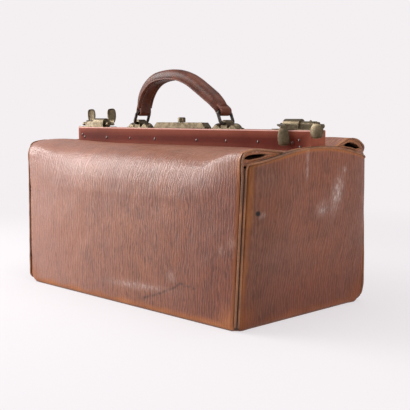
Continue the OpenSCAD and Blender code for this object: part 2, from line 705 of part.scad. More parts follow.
// Striker plates on the rear jaw lie under the levers' inner necks
keeper_t = 0.8;
module catch_keepers() color(brass_colour) both_ends()
    box(base_inner, housing_inner - neck_gap, lock_front, jaw_depth - 1, jaw_top, jaw_top + keeper_t);

front_panel();
rear_panel();
left_end_panel();
right_end_panel();
bottom_panel();
base_board();
lining();
corner_welts();
end_bindings();
hinge_brackets();
hinge_pins();
front_shoulder();
rear_shoulder();
front_corner_pleats();
rear_corner_pleats();
front_jaw_frame();
rear_jaw_frame();
front_jaw_cover();
rear_jaw_cover();
front_frame_rivets();
rear_frame_rivets();
left_ring_plate();
right_ring_plate();
plate_rivets();
left_ring();
right_ring();
handle_cover();
handle_core();
handle_loops();
lock_case();
lock_bolt();
lock_knob();
lock_hook();
left_catch_base();
right_catch_base();
left_catch_lever();
right_catch_lever();
catch_keepers();
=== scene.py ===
"""Gladstone bag: leather shell, shoulders, handle and finishes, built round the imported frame."""
import json
import math

import bmesh
import bpy
import numpy as np
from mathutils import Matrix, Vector, noise


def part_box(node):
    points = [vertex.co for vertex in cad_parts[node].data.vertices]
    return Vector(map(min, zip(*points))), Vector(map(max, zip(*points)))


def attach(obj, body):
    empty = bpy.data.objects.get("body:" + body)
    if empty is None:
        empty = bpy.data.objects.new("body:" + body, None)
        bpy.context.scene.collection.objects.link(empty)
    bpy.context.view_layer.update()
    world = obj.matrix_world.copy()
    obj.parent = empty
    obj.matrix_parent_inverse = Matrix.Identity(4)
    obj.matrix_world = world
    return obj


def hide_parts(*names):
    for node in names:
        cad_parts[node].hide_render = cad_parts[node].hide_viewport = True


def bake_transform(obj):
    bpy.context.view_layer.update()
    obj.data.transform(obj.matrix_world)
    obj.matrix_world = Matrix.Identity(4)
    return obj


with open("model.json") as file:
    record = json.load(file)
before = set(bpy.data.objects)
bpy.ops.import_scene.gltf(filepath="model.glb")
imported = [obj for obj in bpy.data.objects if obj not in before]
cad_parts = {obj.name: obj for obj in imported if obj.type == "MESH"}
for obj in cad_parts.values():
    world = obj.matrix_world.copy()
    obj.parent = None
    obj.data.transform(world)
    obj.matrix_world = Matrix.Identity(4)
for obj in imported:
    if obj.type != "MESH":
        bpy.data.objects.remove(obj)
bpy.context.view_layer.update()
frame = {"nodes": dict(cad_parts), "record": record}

MM = 0.001


def box_mm(node):
    low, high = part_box(node)
    return low / MM, high / MM


def add_object(name, data):
    made = bpy.data.objects.new(name, data)
    bpy.context.scene.collection.objects.link(made)
    return made


# Camera, placed before the pieces: its place and target in millimetres were fitted to the photo

CAMERA_PLACE = Vector((869.15, -814.2, 254.1)) * MM
CAMERA_TARGET = Vector((40.27, 0, 128.83)) * MM
CAMERA_LENS = 72.2
SENSOR_WIDTH = 36
camera_data = bpy.data.cameras.new("camera")
camera_data.sensor_width = SENSOR_WIDTH
camera_data.lens = CAMERA_LENS
camera = add_object("camera", camera_data)
camera.location = CAMERA_PLACE
camera.rotation_euler = (CAMERA_TARGET - CAMERA_PLACE).to_track_quat("-Z", "Y").to_euler()
bpy.context.scene.camera = camera

# Sizes of the leather body, in millimetres, from the frame

front_low, front_high = box_mm("front_panel")
bottom_high = box_mm("bottom_panel")[1]
end_high = box_mm("right_end_panel")[1]
jaw_low, jaw_high = box_mm("front_jaw_cover")
SEAM_ROOM = 0.3
PANEL_T = bottom_high.z
SPRING = front_high.z
TOP_X = front_high.x
BASE_X = bottom_high.x + PANEL_T + SEAM_ROOM
TOP_Y = -box_mm("front_shoulder")[0].y
BASE_Y = -front_low.y
ARCH_RISE = end_high.z - SPRING
JAW_TOP = jaw_high.z
JAW_Y = -jaw_low.y
FRAME_X = jaw_high.x


def mix(a, b, t):
    return a + (b - a) * t


def smooth(t):
    t = min(1, max(0, t))
    return t * t * (3 - 2 * t)


def ramp(value, start, end):
    return smooth((value - start) / (end - start))


def hump(value, middle, width):
    return math.exp(-((value - middle) / width) ** 2)


def spread(start, end, count):
    """Evenly spread values from start to end."""
    return [mix(start, end, k / (count - 1)) for k in range(count)]


def circle(count):
    """Cosines and sines of evenly spread angles."""
    return [(math.cos(2 * math.pi * k / count), math.sin(2 * math.pi * k / count)) for k in range(count)]


def half_length(z):
    return mix(BASE_X, TOP_X, z / SPRING)


def half_depth(z):
    return mix(BASE_Y, TOP_Y, z / SPRING)


BULGE = end_high.x - half_length(SPRING + ARCH_RISE)
BULGE_START = 15
BULGE_FULL = SPRING - 18


def end_face(u, z):
    """Outer face of an end panel at a share u of its half width."""
    return half_length(z) + BULGE * (1 - abs(u) ** 8) * ramp(z, BULGE_START, BULGE_FULL)


def arch(u):
    return SPRING + ARCH_RISE * math.cos(math.pi / 2 * min(1, abs(u)))


def share(y):
    """Share of the end panel's half width at a distance from its middle."""
    return min(1, abs(y) / (TOP_Y - PANEL_T))


def wander(x, y, z, size, seed=0):
    """Soft noise from -1 to 1 with features of about that size in millimetres."""
    return noise.noise(Vector((x / size + seed, y / size, z / size)))


# Reach of the wear on each bottom corner of the body, by the signs of x and y
CORNER_R = {(1, -1): 11, (-1, -1): 14, (1, 1): 14, (-1, 1): 20}
CORNER_POWER = 2.8


def worn(p):
    """Moves a point of the body so that the bottom corners are round."""
    x, y, z = p
    r = CORNER_R[(1 if x > 0 else -1, 1 if y > 0 else -1)]
    q = [abs(x) - (BASE_X - r), abs(y) - (BASE_Y - r), r - z]
    if min(q) <= 0:
        return p
    q = [value / r for value in q]
    norm = sum(value ** CORNER_POWER for value in q) ** (1 / CORNER_POWER)
    factor = mix(1, max(q) / norm, smooth(min(q)))
    q = [value * factor * r for value in q]
    return (math.copysign(BASE_X - r + q[0], x), math.copysign(BASE_Y - r + q[1], y), r - q[2])


# The sunken corner: how far it has moved, the heights over which that fades, and its foot's share and height
REAR_SAG = 5.2
SAG_FADE = (30, 210)
SAG_FOOT = 0.5
SAG_FOOT_Z = 28
# How much of that goes along X
SAG_ALONG = 0.6


def sag(sx, sy, z):
    """How far the rear right corner has sunk outwards."""
    if sx <= 0 or sy <= 0:
        return 0
    return REAR_SAG * (1 - ramp(z, *SAG_FADE)) * mix(SAG_FOOT, 1, ramp(z, 0, SAG_FOOT_Z))


# Material building blocks


class Tree:
    """The shader nodes of a material or world, with short names for those that the finishes share."""

    def __init__(self, owner):
        owner.use_nodes = True
        self.owner = owner
        self.nodes = owner.node_tree.nodes

    def join(self, source, target):
        """Connects a socket, or sets a number, a vector or a colour."""
        if isinstance(source, (int, float)):
            target.default_value = source
        elif isinstance(source, tuple):
            target.default_value = source if len(source) == len(target.default_value) else (*source, 1)
        else:
            self.owner.node_tree.links.new(source, target)

    def fill(self, node, inputs):
        for key, value in inputs.items():
            if value is not None:
                self.join(value, node.inputs[key])

    def node(self, kind, output, inputs=None, **settings):
        """One output of a new node."""
        node = self.nodes.new(f"ShaderNode{kind}")
        for key, value in settings.items():
            setattr(node, key, value)
        self.fill(node, inputs or {})
        return node.outputs[output]

    def attribute(self, name, output="Fac"):
        return self.node("Attribute", output, attribute_name=name)

    def rest(self):
        """Where the point is at rest, in metres."""
        return self.attribute("rest", "Vector")

    def rest_axis(self, index):
        return self.node("SeparateXYZ", index, {0: self.rest()})

    def place(self):
        return self.node("TexCoord", "Object")

    def scaled(self, vector, scale):
        return self.node("Mapping", "Vector", {"Vector": vector, "Scale": scale})

    def noise(self, vector, scale, detail=3, roughness=0.55, distortion=0.0):
        return self.node("TexNoise", "Fac", {"Vector": vector, "Scale": scale, "Detail": detail,
                                             "Roughness": roughness, "Distortion": distortion})

    def stretched(self, vector, scale, *settings):
        """Noise with a scale of its own along each axis."""
        return self.noise(self.scaled(vector, scale), 1, *settings)

    def bands(self, vector, period, distortion):
        """Wavy parallel lines across X, a period in metres apart."""
        inputs = {"Vector": vector, "Scale": math.pi / 10 / period, "Distortion": distortion, "Detail": 3,
                  "Detail Scale": 1.1, "Detail Roughness": 0.6}
        return self.node("TexWave", "Fac", inputs, wave_type="BANDS", bands_direction="X")

    def span(self, value, low, high, to_low=0.0, to_high=1.0):
        """A value taken smoothly from one range to another."""
        inputs = {"Value": value, "From Min": low, "From Max": high, "To Min": to_low, "To Max": to_high}
        return self.node("MapRange", "Result", inputs, interpolation_type="SMOOTHSTEP")

    def math(self, operation, a, b=0.0):
        clamp = operation in ("MULTIPLY", "ADD", "MAXIMUM")
        return self.node("Math", 0, {0: a, 1: b}, operation=operation, use_clamp=clamp)

    def times(self, a, b):
        return self.math("MULTIPLY", a, b)

    def blend(self, amount, a, b, kind="MIX"):
        return self.node("Mix", 2, {"Factor": amount, 6: a, 7: b}, data_type="RGBA", blend_type=kind)

    def tint(self, amount, color, factor):
        return self.blend(amount, color, factor, "MULTIPLY")

    def tones(self, value, low, high, dark, light):
        """Two colours, from dark to light as a value goes from low to high."""
        return self.blend(self.span(value, low, high), dark, light)

    def bump(self, height, distance, normal=None):
        return self.node("Bump", "Normal", {"Height": height, "Distance": distance, "Normal": normal})

    def near(self, point, radius):
        """1 at a point of the object and 0 beyond a radius, both in metres."""
        distance = self.node("VectorMath", "Value", {0: self.rest(), 1: tuple(point)}, operation="DISTANCE")
        return self.span(distance, radius * 0.4, radius, 1.0, 0.0)

    def seen_by(self, ray):
        return self.node("LightPath", f"Is {ray} Ray")

    def show(self, seen, plain, shown, output):
        """Sends one shader to the output, and another one where it is seen."""
        mixed = self.node("MixShader", 0, {0: seen, 1: plain, 2: shown})
        self.join(mixed, self.nodes[output].inputs["Surface"])

    def finish(self, color, roughness, normal=None, metallic=0.0, specular=0.5):
        inputs = {"Base Color": color, "Roughness": roughness, "Normal": normal, "Metallic": metallic,
                  "Specular IOR Level": specular}
        self.fill(self.nodes["Principled BSDF"], inputs)
        return self.owner


def new_tree(name):
    return Tree(bpy.data.materials.new(name))


# Colours of the leather: of the body and of both ends, where it is rubbed, of its marks, and of its painted
# sheen and shade

BROWN = (0.215, 0.078, 0.046)
BROWN_DARK = (0.085, 0.029, 0.017)
BROWN_WARM = (0.27, 0.093, 0.042)
END_BROWN = (0.185, 0.07, 0.045)
END_DARK = (0.075, 0.028, 0.018)
END_WARM = (0.215, 0.066, 0.032)
# Pale pink of the painted sheen on the left of the front
SHEEN_PALE = (0.42, 0.22, 0.17)
RIDGE = (0.42, 0.21, 0.14)
TAN = (0.41, 0.138, 0.026)
ORANGE = (0.33, 0.094, 0.016)
SCUFF = (0.62, 0.52, 0.48)
# Near-black of painted shade: in creases, at the hem and in the pleats' mouths
SHADE_DARK = (0.03, 0.012, 0.008)
HOLE_SHADE = (0.004, 0.003, 0.003)
# Distance from the middle and height of the worn hole in the right end panel, painted as a dark spot of
# shade, and its radius
HOLE = (-103.3, 141)
HOLE_R = 4.5
GRAIN_PERIOD = 4.3 * MM


def grained_leather(name, base=BROWN, dark=BROWN_DARK, warm=BROWN_WARM, depth=1.0):
    """Long-grained leather with rubbed tan edges and pale scuffs. The grain runs along its second axis."""
    tree = new_tree(name)
    grain = tree.attribute("grain", "Vector")
    lines = tree.bands(tree.scaled(grain, (1, 0.36, 1)), GRAIN_PERIOD, 11)
    fine = tree.stretched(grain, (620, 95, 1), 4, 0.65, 0.5)
    breaks = tree.span(tree.stretched(grain, (150, 45, 1), 3, 0.65), 0.36, 0.6)
    pebble = tree.stretched(grain, (1500, 900, 1), 2)
    patch = tree.noise(tree.rest(), 15, 4, 0.6)
    broad = tree.span(patch, 0.3, 0.7)
    ridge = tree.math("ADD", tree.times(lines, 0.36), tree.times(fine, 0.64))
    groove = tree.times(tree.span(ridge, 0.5, 0.3), breaks)
    soft = tree.attribute("soft")
    groove = tree.times(groove, tree.span(soft, 0, 1, 1.0, 0.45))
    color = tree.blend(tree.times(broad, 0.8), base, warm)
    color = tree.blend(tree.span(tree.noise(tree.rest(), 42, 4, 0.6), 0.45, 0.7, 0.0, 0.35), color, dark)
    color = tree.blend(tree.times(groove, 0.68 * depth), color, dark)
    color = tree.blend(tree.span(ridge, 0.5, 0.75, 0.0, 0.3 * depth), color, RIDGE)
    rub = tree.times(tree.attribute("wear"), tree.span(patch, 0.15, 0.6, 0.6, 1.0))
    color = tree.blend(rub, color, tree.blend(broad, ORANGE, TAN))
    speck = tree.span(tree.stretched(grain, (420, 130, 1), 5, 0.75), 0.46, 0.62, 0.22, 1.0)
    color = tree.blend(tree.times(tree.attribute("scuff"), speck), color, SCUFF)
    # Painted shade: the hem's contact shadow, a fold low on the front and the mouths of the pleats
    color = tree.blend(tree.times(tree.attribute("crease"), 0.9), color, SHADE_DARK)
    uneven = tree.math("ADD", tree.times(ridge, 0.5), tree.times(patch, 0.5))
    roughness = tree.math("SUBTRACT", tree.span(uneven, 0.25, 0.75, 0.6, 0.42), tree.times(soft, 0.15))
    normal = tree.bump(ridge, 0.0006 * depth, tree.bump(pebble, 0.00012))
    return tree, color, roughness, normal


def body_leather():
    """Where unworn, the front is painted paler and pinker towards its left as a painted sheen, and darker and
    redder low on its right as painted shade.
    """
    tree, color, roughness, normal = grained_leather("body_leather")
    along = tree.rest_axis(0)
    front = tree.span(tree.rest_axis(1), -0.02, -0.1)
    unworn = tree.math("SUBTRACT", 1.0, tree.attribute("wear"))
    # Painted sheen: the unworn front paler towards its left
    left_sheen = tree.times(tree.times(front, unworn), tree.span(along, -0.25, 0.05, 0.42, 0.0))
    color = tree.blend(left_sheen, color, SHEEN_PALE)
    roughness = tree.math("ADD", roughness, tree.times(tree.math("SUBTRACT", 1.0, front), 0.16))
    face = tree.times(tree.span(tree.rest_axis(2), 0.2, 0.175), tree.span(tree.rest_axis(1), 0.05, -0.05))
    # Painted shade: the unworn front darker and redder low on its right
    right_shade = tree.times(tree.times(face, unworn), tree.span(along, 0.02, 0.22))
    return tree.finish(tree.tint(right_shade, color, (0.7, 0.5, 0.4)), roughness, normal, specular=0.5)


def end_leather():
    """The end panels darken low down and towards the front. The right one has a small worn hole, painted as a
    dark spot of shade.
    """
    tree, color, roughness, normal = grained_leather("end_leather", END_BROWN, END_DARK, END_WARM, 0.6)
    # Painted shade of the hole: a near-black spot, with no opening cut
    hole_shade = tree.near(Vector((end_face(share(HOLE[0]), HOLE[1]), *HOLE)) * MM, HOLE_R * MM)
    color = tree.tint(tree.span(tree.rest_axis(2), 0.1, 0.01), color, (0.8, 0.66, 0.58))
    color = tree.tint(tree.span(tree.rest_axis(1), -0.03, -0.1), color, (0.76, 0.78, 0.77))
    return tree.finish(tree.blend(hole_shade, color, HOLE_SHADE), roughness, normal, specular=0.3)


def edge_leather():
    """Raw and rubbed edges: tan with dark grime in the hollows."""
    tree = new_tree("edge_leather")
    coarse = tree.noise(tree.rest(), 45, 4, 0.6)
    fine = tree.noise(tree.rest(), 700, 3)
    color = tree.tones(coarse, 0.3, 0.7, (0.15, 0.062, 0.028), (0.29, 0.118, 0.05))
    color = tree.blend(tree.span(fine, 0.5, 0.8, 0.0, 0.45), color, (0.06, 0.024, 0.014))
    return tree.finish(color, tree.span(fine, 0.2, 0.8, 0.5, 0.75), tree.bump(coarse, 0.0004))


# A painted highlight along the top front edge of the frame's leather: how far below the jaw's top and behind
# its face it starts and is full
GLINT_TOP = (1.9, 1.1)
GLINT_FACE = (1.4, 0.6)


def frame_leather():
    tree = new_tree("frame_leather")
    broad = tree.noise(tree.rest(), 14, 4, 0.6)
    fine = tree.noise(tree.rest(), 700, 3)
    color = tree.tones(broad, 0.3, 0.7, (0.09, 0.0148, 0.0088), (0.125, 0.0225, 0.0138))
    end = tree.times(tree.attribute("wear"), tree.span(broad, 0.2, 0.7, 0.5, 1.0))
    color = tree.blend(end, color, (0.3, 0.087, 0.052))
    color = tree.blend(tree.span(fine, 0.62, 0.8, 0.0, 0.5), color, (0.09, 0.022, 0.014))
    # Painted highlight along the jaw's top front edge
    upper = tree.span(tree.rest_axis(2), *((JAW_TOP - below) * MM for below in GLINT_TOP))
    outer = tree.math("ABSOLUTE", tree.rest_axis(1))
    outer = tree.span(outer, *((JAW_Y - behind) * MM for behind in GLINT_FACE), 0.0, 0.85)
    color = tree.blend(tree.times(upper, outer), color, (0.78, 0.46, 0.40))
    return tree.finish(color, tree.span(broad, 0.2, 0.8, 0.36, 0.48), tree.bump(fine, 0.00005), specular=0.04)


def handle_leather():
    tree = new_tree("handle_leather")
    broad = tree.noise(tree.rest(), 60, 4, 0.6)
    fine = tree.noise(tree.rest(), 420, 4)
    color = tree.tones(broad, 0.35, 0.65, (0.055, 0.016, 0.008), (0.125, 0.036, 0.018))
    color = tree.blend(tree.span(fine, 0.55, 0.75, 0.0, 0.4), color, (0.05, 0.017, 0.011))
    color = tree.blend(tree.times(tree.attribute("wear"), 0.45), color, (0.24, 0.085, 0.055))
    normal = tree.bump(fine, 0.00003, tree.bump(broad, 0.0002))
    return tree.finish(color, tree.span(broad, 0.2, 0.8, 0.38, 0.5), normal, specular=0.25)


def brass_finish():
    tree = new_tree("brass")
    coarse = tree.noise(tree.place(), 120, 5, 0.7)
    fine = tree.noise(tree.place(), 1100, 3)
    color = tree.tones(coarse, 0.35, 0.62, (0.085, 0.062, 0.034), (0.16, 0.124, 0.076))
    color = tree.blend(tree.span(fine, 0.55, 0.8, 0.0, 0.4), color, (0.08, 0.06, 0.034))
    return tree.finish(color, tree.span(coarse, 0.3, 0.7, 0.44, 0.32), tree.bump(fine, 0.00006), 0.85)


def cloth_finish():
    tree = new_tree("lining_cloth")
    weave = tree.stretched(tree.place(), (900, 900, 900), 1)
    stain = tree.noise(tree.place(), 11, 4, 0.6)
    color = tree.tones(stain, 0.3, 0.7, (0.27, 0.18, 0.10), (0.40, 0.30, 0.19))
    return tree.finish(color, 0.9, tree.bump(weave, 0.0002))


def mottled(name, grain, dark, light, rough, tones=None, depth=None, metallic=0.0, at_rest=False):
    """A finish between two colours. The grain is a noise's settings, and rough is one value or a span."""
    tree = new_tree(name)
    coarse = tree.noise(tree.rest() if at_rest else tree.place(), *grain)
    color = tree.blend(tree.span(coarse, *tones) if tones else coarse, dark, light)
    roughness = tree.span(coarse, *rough) if isinstance(rough, tuple) else rough
    return tree.finish(color, roughness, tree.bump(coarse, depth) if depth else None, metallic)


LEATHER = body_leather()
END_LEATHER = end_leather()
EDGE = edge_leather()
# Near-black leather that stands in for shade: on the corner seams, the binding's middle layer, the pleats'
# inner faces and the frame's body-leather pieces
FOLD_SHADE = mottled("fold_shade_leather", (90, 4), SHADE_DARK, (0.085, 0.035, 0.02), (0.2, 0.8, 0.6, 0.85),
               depth=0.0005, at_rest=True)
FRAME_LEATHER = frame_leather()
HANDLE_LEATHER = handle_leather()
THREAD = mottled("thread", (2500, 2), (0.10, 0.05, 0.028), (0.24, 0.14, 0.085), 0.8)
BRASS = brass_finish()
IRON = mottled("ring_iron", (260, 4, 0.7), (0.02, 0.016, 0.014), (0.09, 0.075, 0.065), (0.3, 0.7, 0.5, 0.36),
               tones=(0.35, 0.7), depth=0.0001, metallic=0.8)
STEEL = mottled("frame_steel", (60, 4, 0.6), (0.05, 0.045, 0.042), (0.16, 0.15, 0.145),
                (0.2, 0.8, 0.35, 0.55), metallic=0.8)
CLOTH = cloth_finish()
BOARD = mottled("board", (400, 4), (0.16, 0.10, 0.055), (0.30, 0.21, 0.13), 0.85)
RIVET = mottled("rivet", (300, 3), (0.045, 0.014, 0.01), (0.11, 0.04, 0.028), 0.25)

SLOTS = {"body_leather": FOLD_SHADE, "edge_leather": EDGE, "frame_leather": FRAME_LEATHER,
         "handle_leather": HANDLE_LEATHER, "lining_cloth": CLOTH, "board": BOARD, "brass": BRASS,
         "ring_iron": IRON, "frame_steel": STEEL}
SLOT_OF = {entry["node"]: entry["material_slot"] for entry in frame["record"]["subparts"]}


def set_material(mesh, material):
    mesh.materials.clear()
    mesh.materials.append(material)


for cad_node, cad_slot in SLOT_OF.items():
    finish = RIVET if cad_node.endswith("frame_rivets") else SLOTS[cad_slot]
    set_material(frame["nodes"][cad_node].data, finish)


# Mesh building blocks


def store(mesh, key, values, kind="FLOAT"):
    """Keeps a value or a vector on each point of a mesh."""
    layer = mesh.attributes.new(key, kind, "POINT")
    layer.data.foreach_set("value" if kind == "FLOAT" else "vector", np.array(values, np.float32).ravel())


def add_piece(name, points, faces, materials, body=None, face_material=None, marks=None, grain=None):
    """A mesh from points in millimetres, with its rest place, wear, scuffs and grain stored on it."""
    mesh = bpy.data.meshes.new(name)
    mesh.from_pydata([tuple(c * MM for c in p) for p in points], [], faces)
    for material in materials:
        mesh.materials.append(material)
    if face_material is not None:
        mesh.polygons.foreach_set("material_index", face_material)
    store(mesh, "rest", np.array(points, np.float32) * MM, "FLOAT_VECTOR")
    if grain is not None:
        store(mesh, "grain", np.array(grain, np.float32) * MM, "FLOAT_VECTOR")
    for key, values in (marks or {}).items():
        store(mesh, key, values)
    mesh.polygons.foreach_set("use_smooth", [True] * len(mesh.polygons))
    mesh.update()
    piece = add_object(name, mesh)
    if body:
        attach(piece, body)
    return piece


def grid_faces(rows, columns, start=0, close=False, flip=False):
    """Quads of a grid whose points are stored row by row."""
    faces = []
    for i in range(rows - 1):
        for j in range(columns if close else columns - 1):
            a = start + i * columns + j
            b = start + i * columns + (j + 1) % columns
            face = (a, b, b + columns, a + columns)
            faces.append(face[::-1] if flip else face)
    return faces


def bar_faces(rows, columns, start=0, flip=False):
    """Faces of a closed bar: its skin, and one face at each end."""
    faces = grid_faces(rows, columns, start, close=True, flip=flip)
    for first, turned in ((start, not flip), (start + (rows - 1) * columns, flip)):
        ring = tuple(range(first, first + columns))
        faces.append(ring[::-1] if turned else ring)
    return faces


def normals_of(grid):
    """Unit normals of a grid of points (rows, columns, 3)."""
    across = np.gradient(grid, axis=1)
    along = np.gradient(grid, axis=0)
    normal = np.cross(across, along)
    return normal / np.maximum(np.linalg.norm(normal, axis=2, keepdims=True), 1e-9)


def sampled(rows, columns, sample):
    """Points, grain and marks of a grid, from a function that gives all three for a row and a column."""
    cells = [[sample(i, j) for j in range(columns)] for i in range(rows)]
    grid, grain = ([[cell[k] for cell in row] for row in cells] for k in (0, 1))
    marks = {key: [[cell[2][key] for cell in row] for row in cells] for key in cells[0][0][2]}
    return grid, grain, marks


def add_sheet(name, thickness, materials, outward, grid, grain, marks):
    """A closed sheet: the grid is its outer face, and the inner face lies a thickness behind it."""
    grid = np.array(grid, float)
    rows, columns = grid.shape[:2]
    normal = normals_of(grid)
    flip = float(np.dot(normal.reshape(-1, 3).mean(axis=0), outward)) < 0
    inner = grid - normal * thickness * (-1 if flip else 1)
    points = np.concatenate([grid.reshape(-1, 3), inner.reshape(-1, 3)])
    count = rows * columns
    faces = grid_faces(rows, columns, 0, flip=flip) + grid_faces(rows, columns, count, flip=not flip)
    half = len(faces) // 2
    border = list(range(columns)) + [(i + 1) * columns - 1 for i in range(1, rows)]
    border += [count - 2 - j for j in range(columns - 1)] + [i * columns for i in range(rows - 2, 0, -1)]
    sides = []
    for a, b in zip(border, border[1:] + border[:1]):
        face = (b, a, a + count, b + count)
        sides.append(face[::-1] if flip else face)
    face_material = [0] * half + [1] * half + [2] * len(sides)
    marks = {key: list(np.array(values).ravel()) * 2 for key, values in marks.items()}
    grain = np.concatenate([np.array(grain).reshape(-1, 3)] * 2)
    return add_piece(name, points, faces + sides, materials, face_material=face_material, marks=marks,
                     grain=grain)


def thinned(radius, tip, rate):
    """The radius of a strip that grows from a share of it at each tip."""
    return lambda t: radius * min(1, tip + rate * min(t, 1 - t))


def add_strip(name, path, radii, material, sx, body=None, segments=8):
    """A round strip along a path of points in millimetres, whose top faces an end of the bag."""
    path = [Vector(p) for p in path]
    points = []
    for i, p in enumerate(path):
        forward = (path[min(i + 1, len(path) - 1)] - path[max(i - 1, 0)]).normalized()
        side = forward.cross(Vector((sx, 0, 0.01))).normalized()
        top = side.cross(forward).normalized()
        radius = radii(i / (len(path) - 1)) if callable(radii) else radii
        points += [p + side * c * radius + top * s * radius for c, s in circle(segments)]
    return add_piece(name, points, bar_faces(len(path), segments), [material], body=body,
                     marks={"wear": [0.5] * len(points)})


def curve_points(points, steps):
    """Catmull-Rom points through a list, with the same number of steps between each two."""
    result = []
    at = lambda i: np.array(points[max(0, min(len(points) - 1, i))], float)
    for i in range(len(points) - 1):
        a, b, c, d = at(i - 1), at(i), at(i + 1), at(i + 2)
        for k in range(steps):
            t = k / steps
            result.append(0.5 * (2 * b + (c - a) * t + (2 * a - 5 * b + 4 * c - d) * t * t
                                 + (3 * b - a - 3 * c + d) * t ** 3))
    result.append(at(len(points) - 1))
    return np.array(result)


def end_name(sx):
    return "right" if sx > 0 else "left"


def corner_name(sx, side):
    return f"{end_name(sx)}_{'front' if side < 0 else 'rear'}"


# Front and rear leather: a panel that rolls over into its shoulder, up to the jaw

# Shoulder profiles from the jaw's face outwards and down: distance from the middle, height
FRONT_MIDDLE = [(14.9, 213.4), (34, 212.9), (56, 212.2), (76, 210.6), (92, 206.8), (104, 199.5), (113, 188),
                (118.6, 172), (121, 154)]
FRONT_RIGHT = [(14.9, 210.5), (34, 211.3), (56, 212), (72, 212.9), (88, 214.8), (101, 216.2), (110, 215.8),
               (116, 213), (119.8, 206.5), (121, 194)]
FRONT_LEFT = [(14.9, 215), (34, 218), (56, 218.4), (80, 217), (98, 215), (109, 212.4), (116.4, 207.6),
              (120.2, 200), (121, 188)]
REAR_MIDDLE = [(14.9, 219), (26, 223), (42, 226), (60, 226.5), (80, 224), (97, 217.5), (109, 207), (116, 195),
               (120.4, 178)]
REAR_END = [(14.9, 218), (26, 217.2), (38, 217.2), (51, 221.8), (65, 226.8), (80, 224.6), (94, 219),
            (107, 213.6), (115.5, 207.2), (119.4, 197)]
HEM_R = 6
HEM_UNDER = ((14, 0.25), (9, 0.2))
HEM_ANGLES = (0.25, 0.55, 0.85, 1.2)
FACE_HEIGHTS = (HEM_R + 2, 30, 70, 110, 140)
FACE_PROUD = 0.4
SIDE_T = PANEL_T - 0.5
# Room for the welts beside an upright corner, narrower at the front's left end and the end panels' rear edges
WELT_ROOM = 6.2
NARROW_ROOM = 2.6
SECTION_STEP = 3
COLUMNS = 190
# Where along a side its middle profile turns into that of its end, and how much closer the columns get there
PROFILE_TURN = (0.52, 0.97)
COLUMN_POWER = 1.15
# The height from which the leather is soft, and the gap from a shoulder to the end panel, wider near the jaw
SOFT_Z = SPRING - 35
SHOULDER_GAP = 0.8
SHOULDER_DIP = 1.6
DIP_FADE = (50, 92)
# How far the middle of a face swells, and the heights of its long and short waves
SWELL = 2.4
LONG_WAVE = 1.1
SHORT_WAVE = 0.5
# How far a face turns in beside its corner, and an end panel at its front and rear edge
FACE_TURN = 1.6
END_TURN = {-1: 1.4, 1: 2}


def section(profile, rows):
    """The outer face from the hem up to the jaw: distances from the middle, heights, lengths along it."""
    hem = [(BASE_Y - inside, z) for inside, z in HEM_UNDER]
    hem += [(BASE_Y - HEM_R + HEM_R * math.sin(a), HEM_R - HEM_R * math.cos(a)) for a in HEM_ANGLES]
    face = [(half_depth(z) + FACE_PROUD, z) for z in FACE_HEIGHTS]
    dense = curve_points(hem + face + profile[::-1], 12)
    length = np.concatenate([[0], np.cumsum(np.linalg.norm(np.diff(dense, axis=0), axis=1))])
    even = np.linspace(0, length[-1], rows)
    return np.stack([np.interp(even, length, dense[:, k]) for k in (0, 1)] + [even], axis=1)


def shoulder_end(y, z):
    """How far along X a shoulder reaches: to the inner face of the end panel."""
    return end_face(share(y), z) - PANEL_T - SHOULDER_GAP - SHOULDER_DIP * (1 - ramp(abs(y), *DIP_FADE))


def face_swell(x, z):
    """How far a face stands out between its edges."""
    return SWELL * math.sin(math.pi * min(1, z / SPRING)) ** 0.8 * max(0, 1 - (x / BASE_X) ** 4) ** 0.5


def front_scuffs(x, z):
    """Pale scuffs on the front: low in the middle, near the right edge, and faintly below the shoulder."""
    low = 0.5 * hump(x, 40, 58) * hump(z, mix(28, 33, (x + 26) / 120), 4.5)
    low += 0.5 * hump(x, 107, 7) * hump(z, 52, 6)
    right = 0.6 * hump(x, 209, 6) * hump(z, 106, 7) + 0.6 * hump(x, 193, 4.5) * hump(z, 95, 6)
    return min(1, low + right + 0.3 * hump(x, 60, 30) * hump(z, 188, 8))


# A fold low on the front, shown only as painted shade: points along it, across and up, and the height below
# which it shows
CREASE = [(52, 16), (76, 24), (98, 33), (115, 40), (123, 46), (139, 44), (150, 43)]
CREASE_REACH = 60


def front_fold_shade(x, z):
    """0.7 of painted shade on the fold, falling to 0 beside it."""
    nearest = 99
    for (x0, z0), (x1, z1) in zip(CREASE, CREASE[1:]):
        t = ((x - x0) * (x1 - x0) + (z - z0) * (z1 - z0)) / ((x1 - x0) ** 2 + (z1 - z0) ** 2)
        t = min(1, max(0, t))
        nearest = min(nearest, math.hypot(x - mix(x0, x1, t), z - mix(z0, z1, t)))
    return 0.7 * (1 - ramp(nearest, 0.4, 2.2)) * ramp(wander(x, 0, z, 7, 8), -0.5, 0.1)


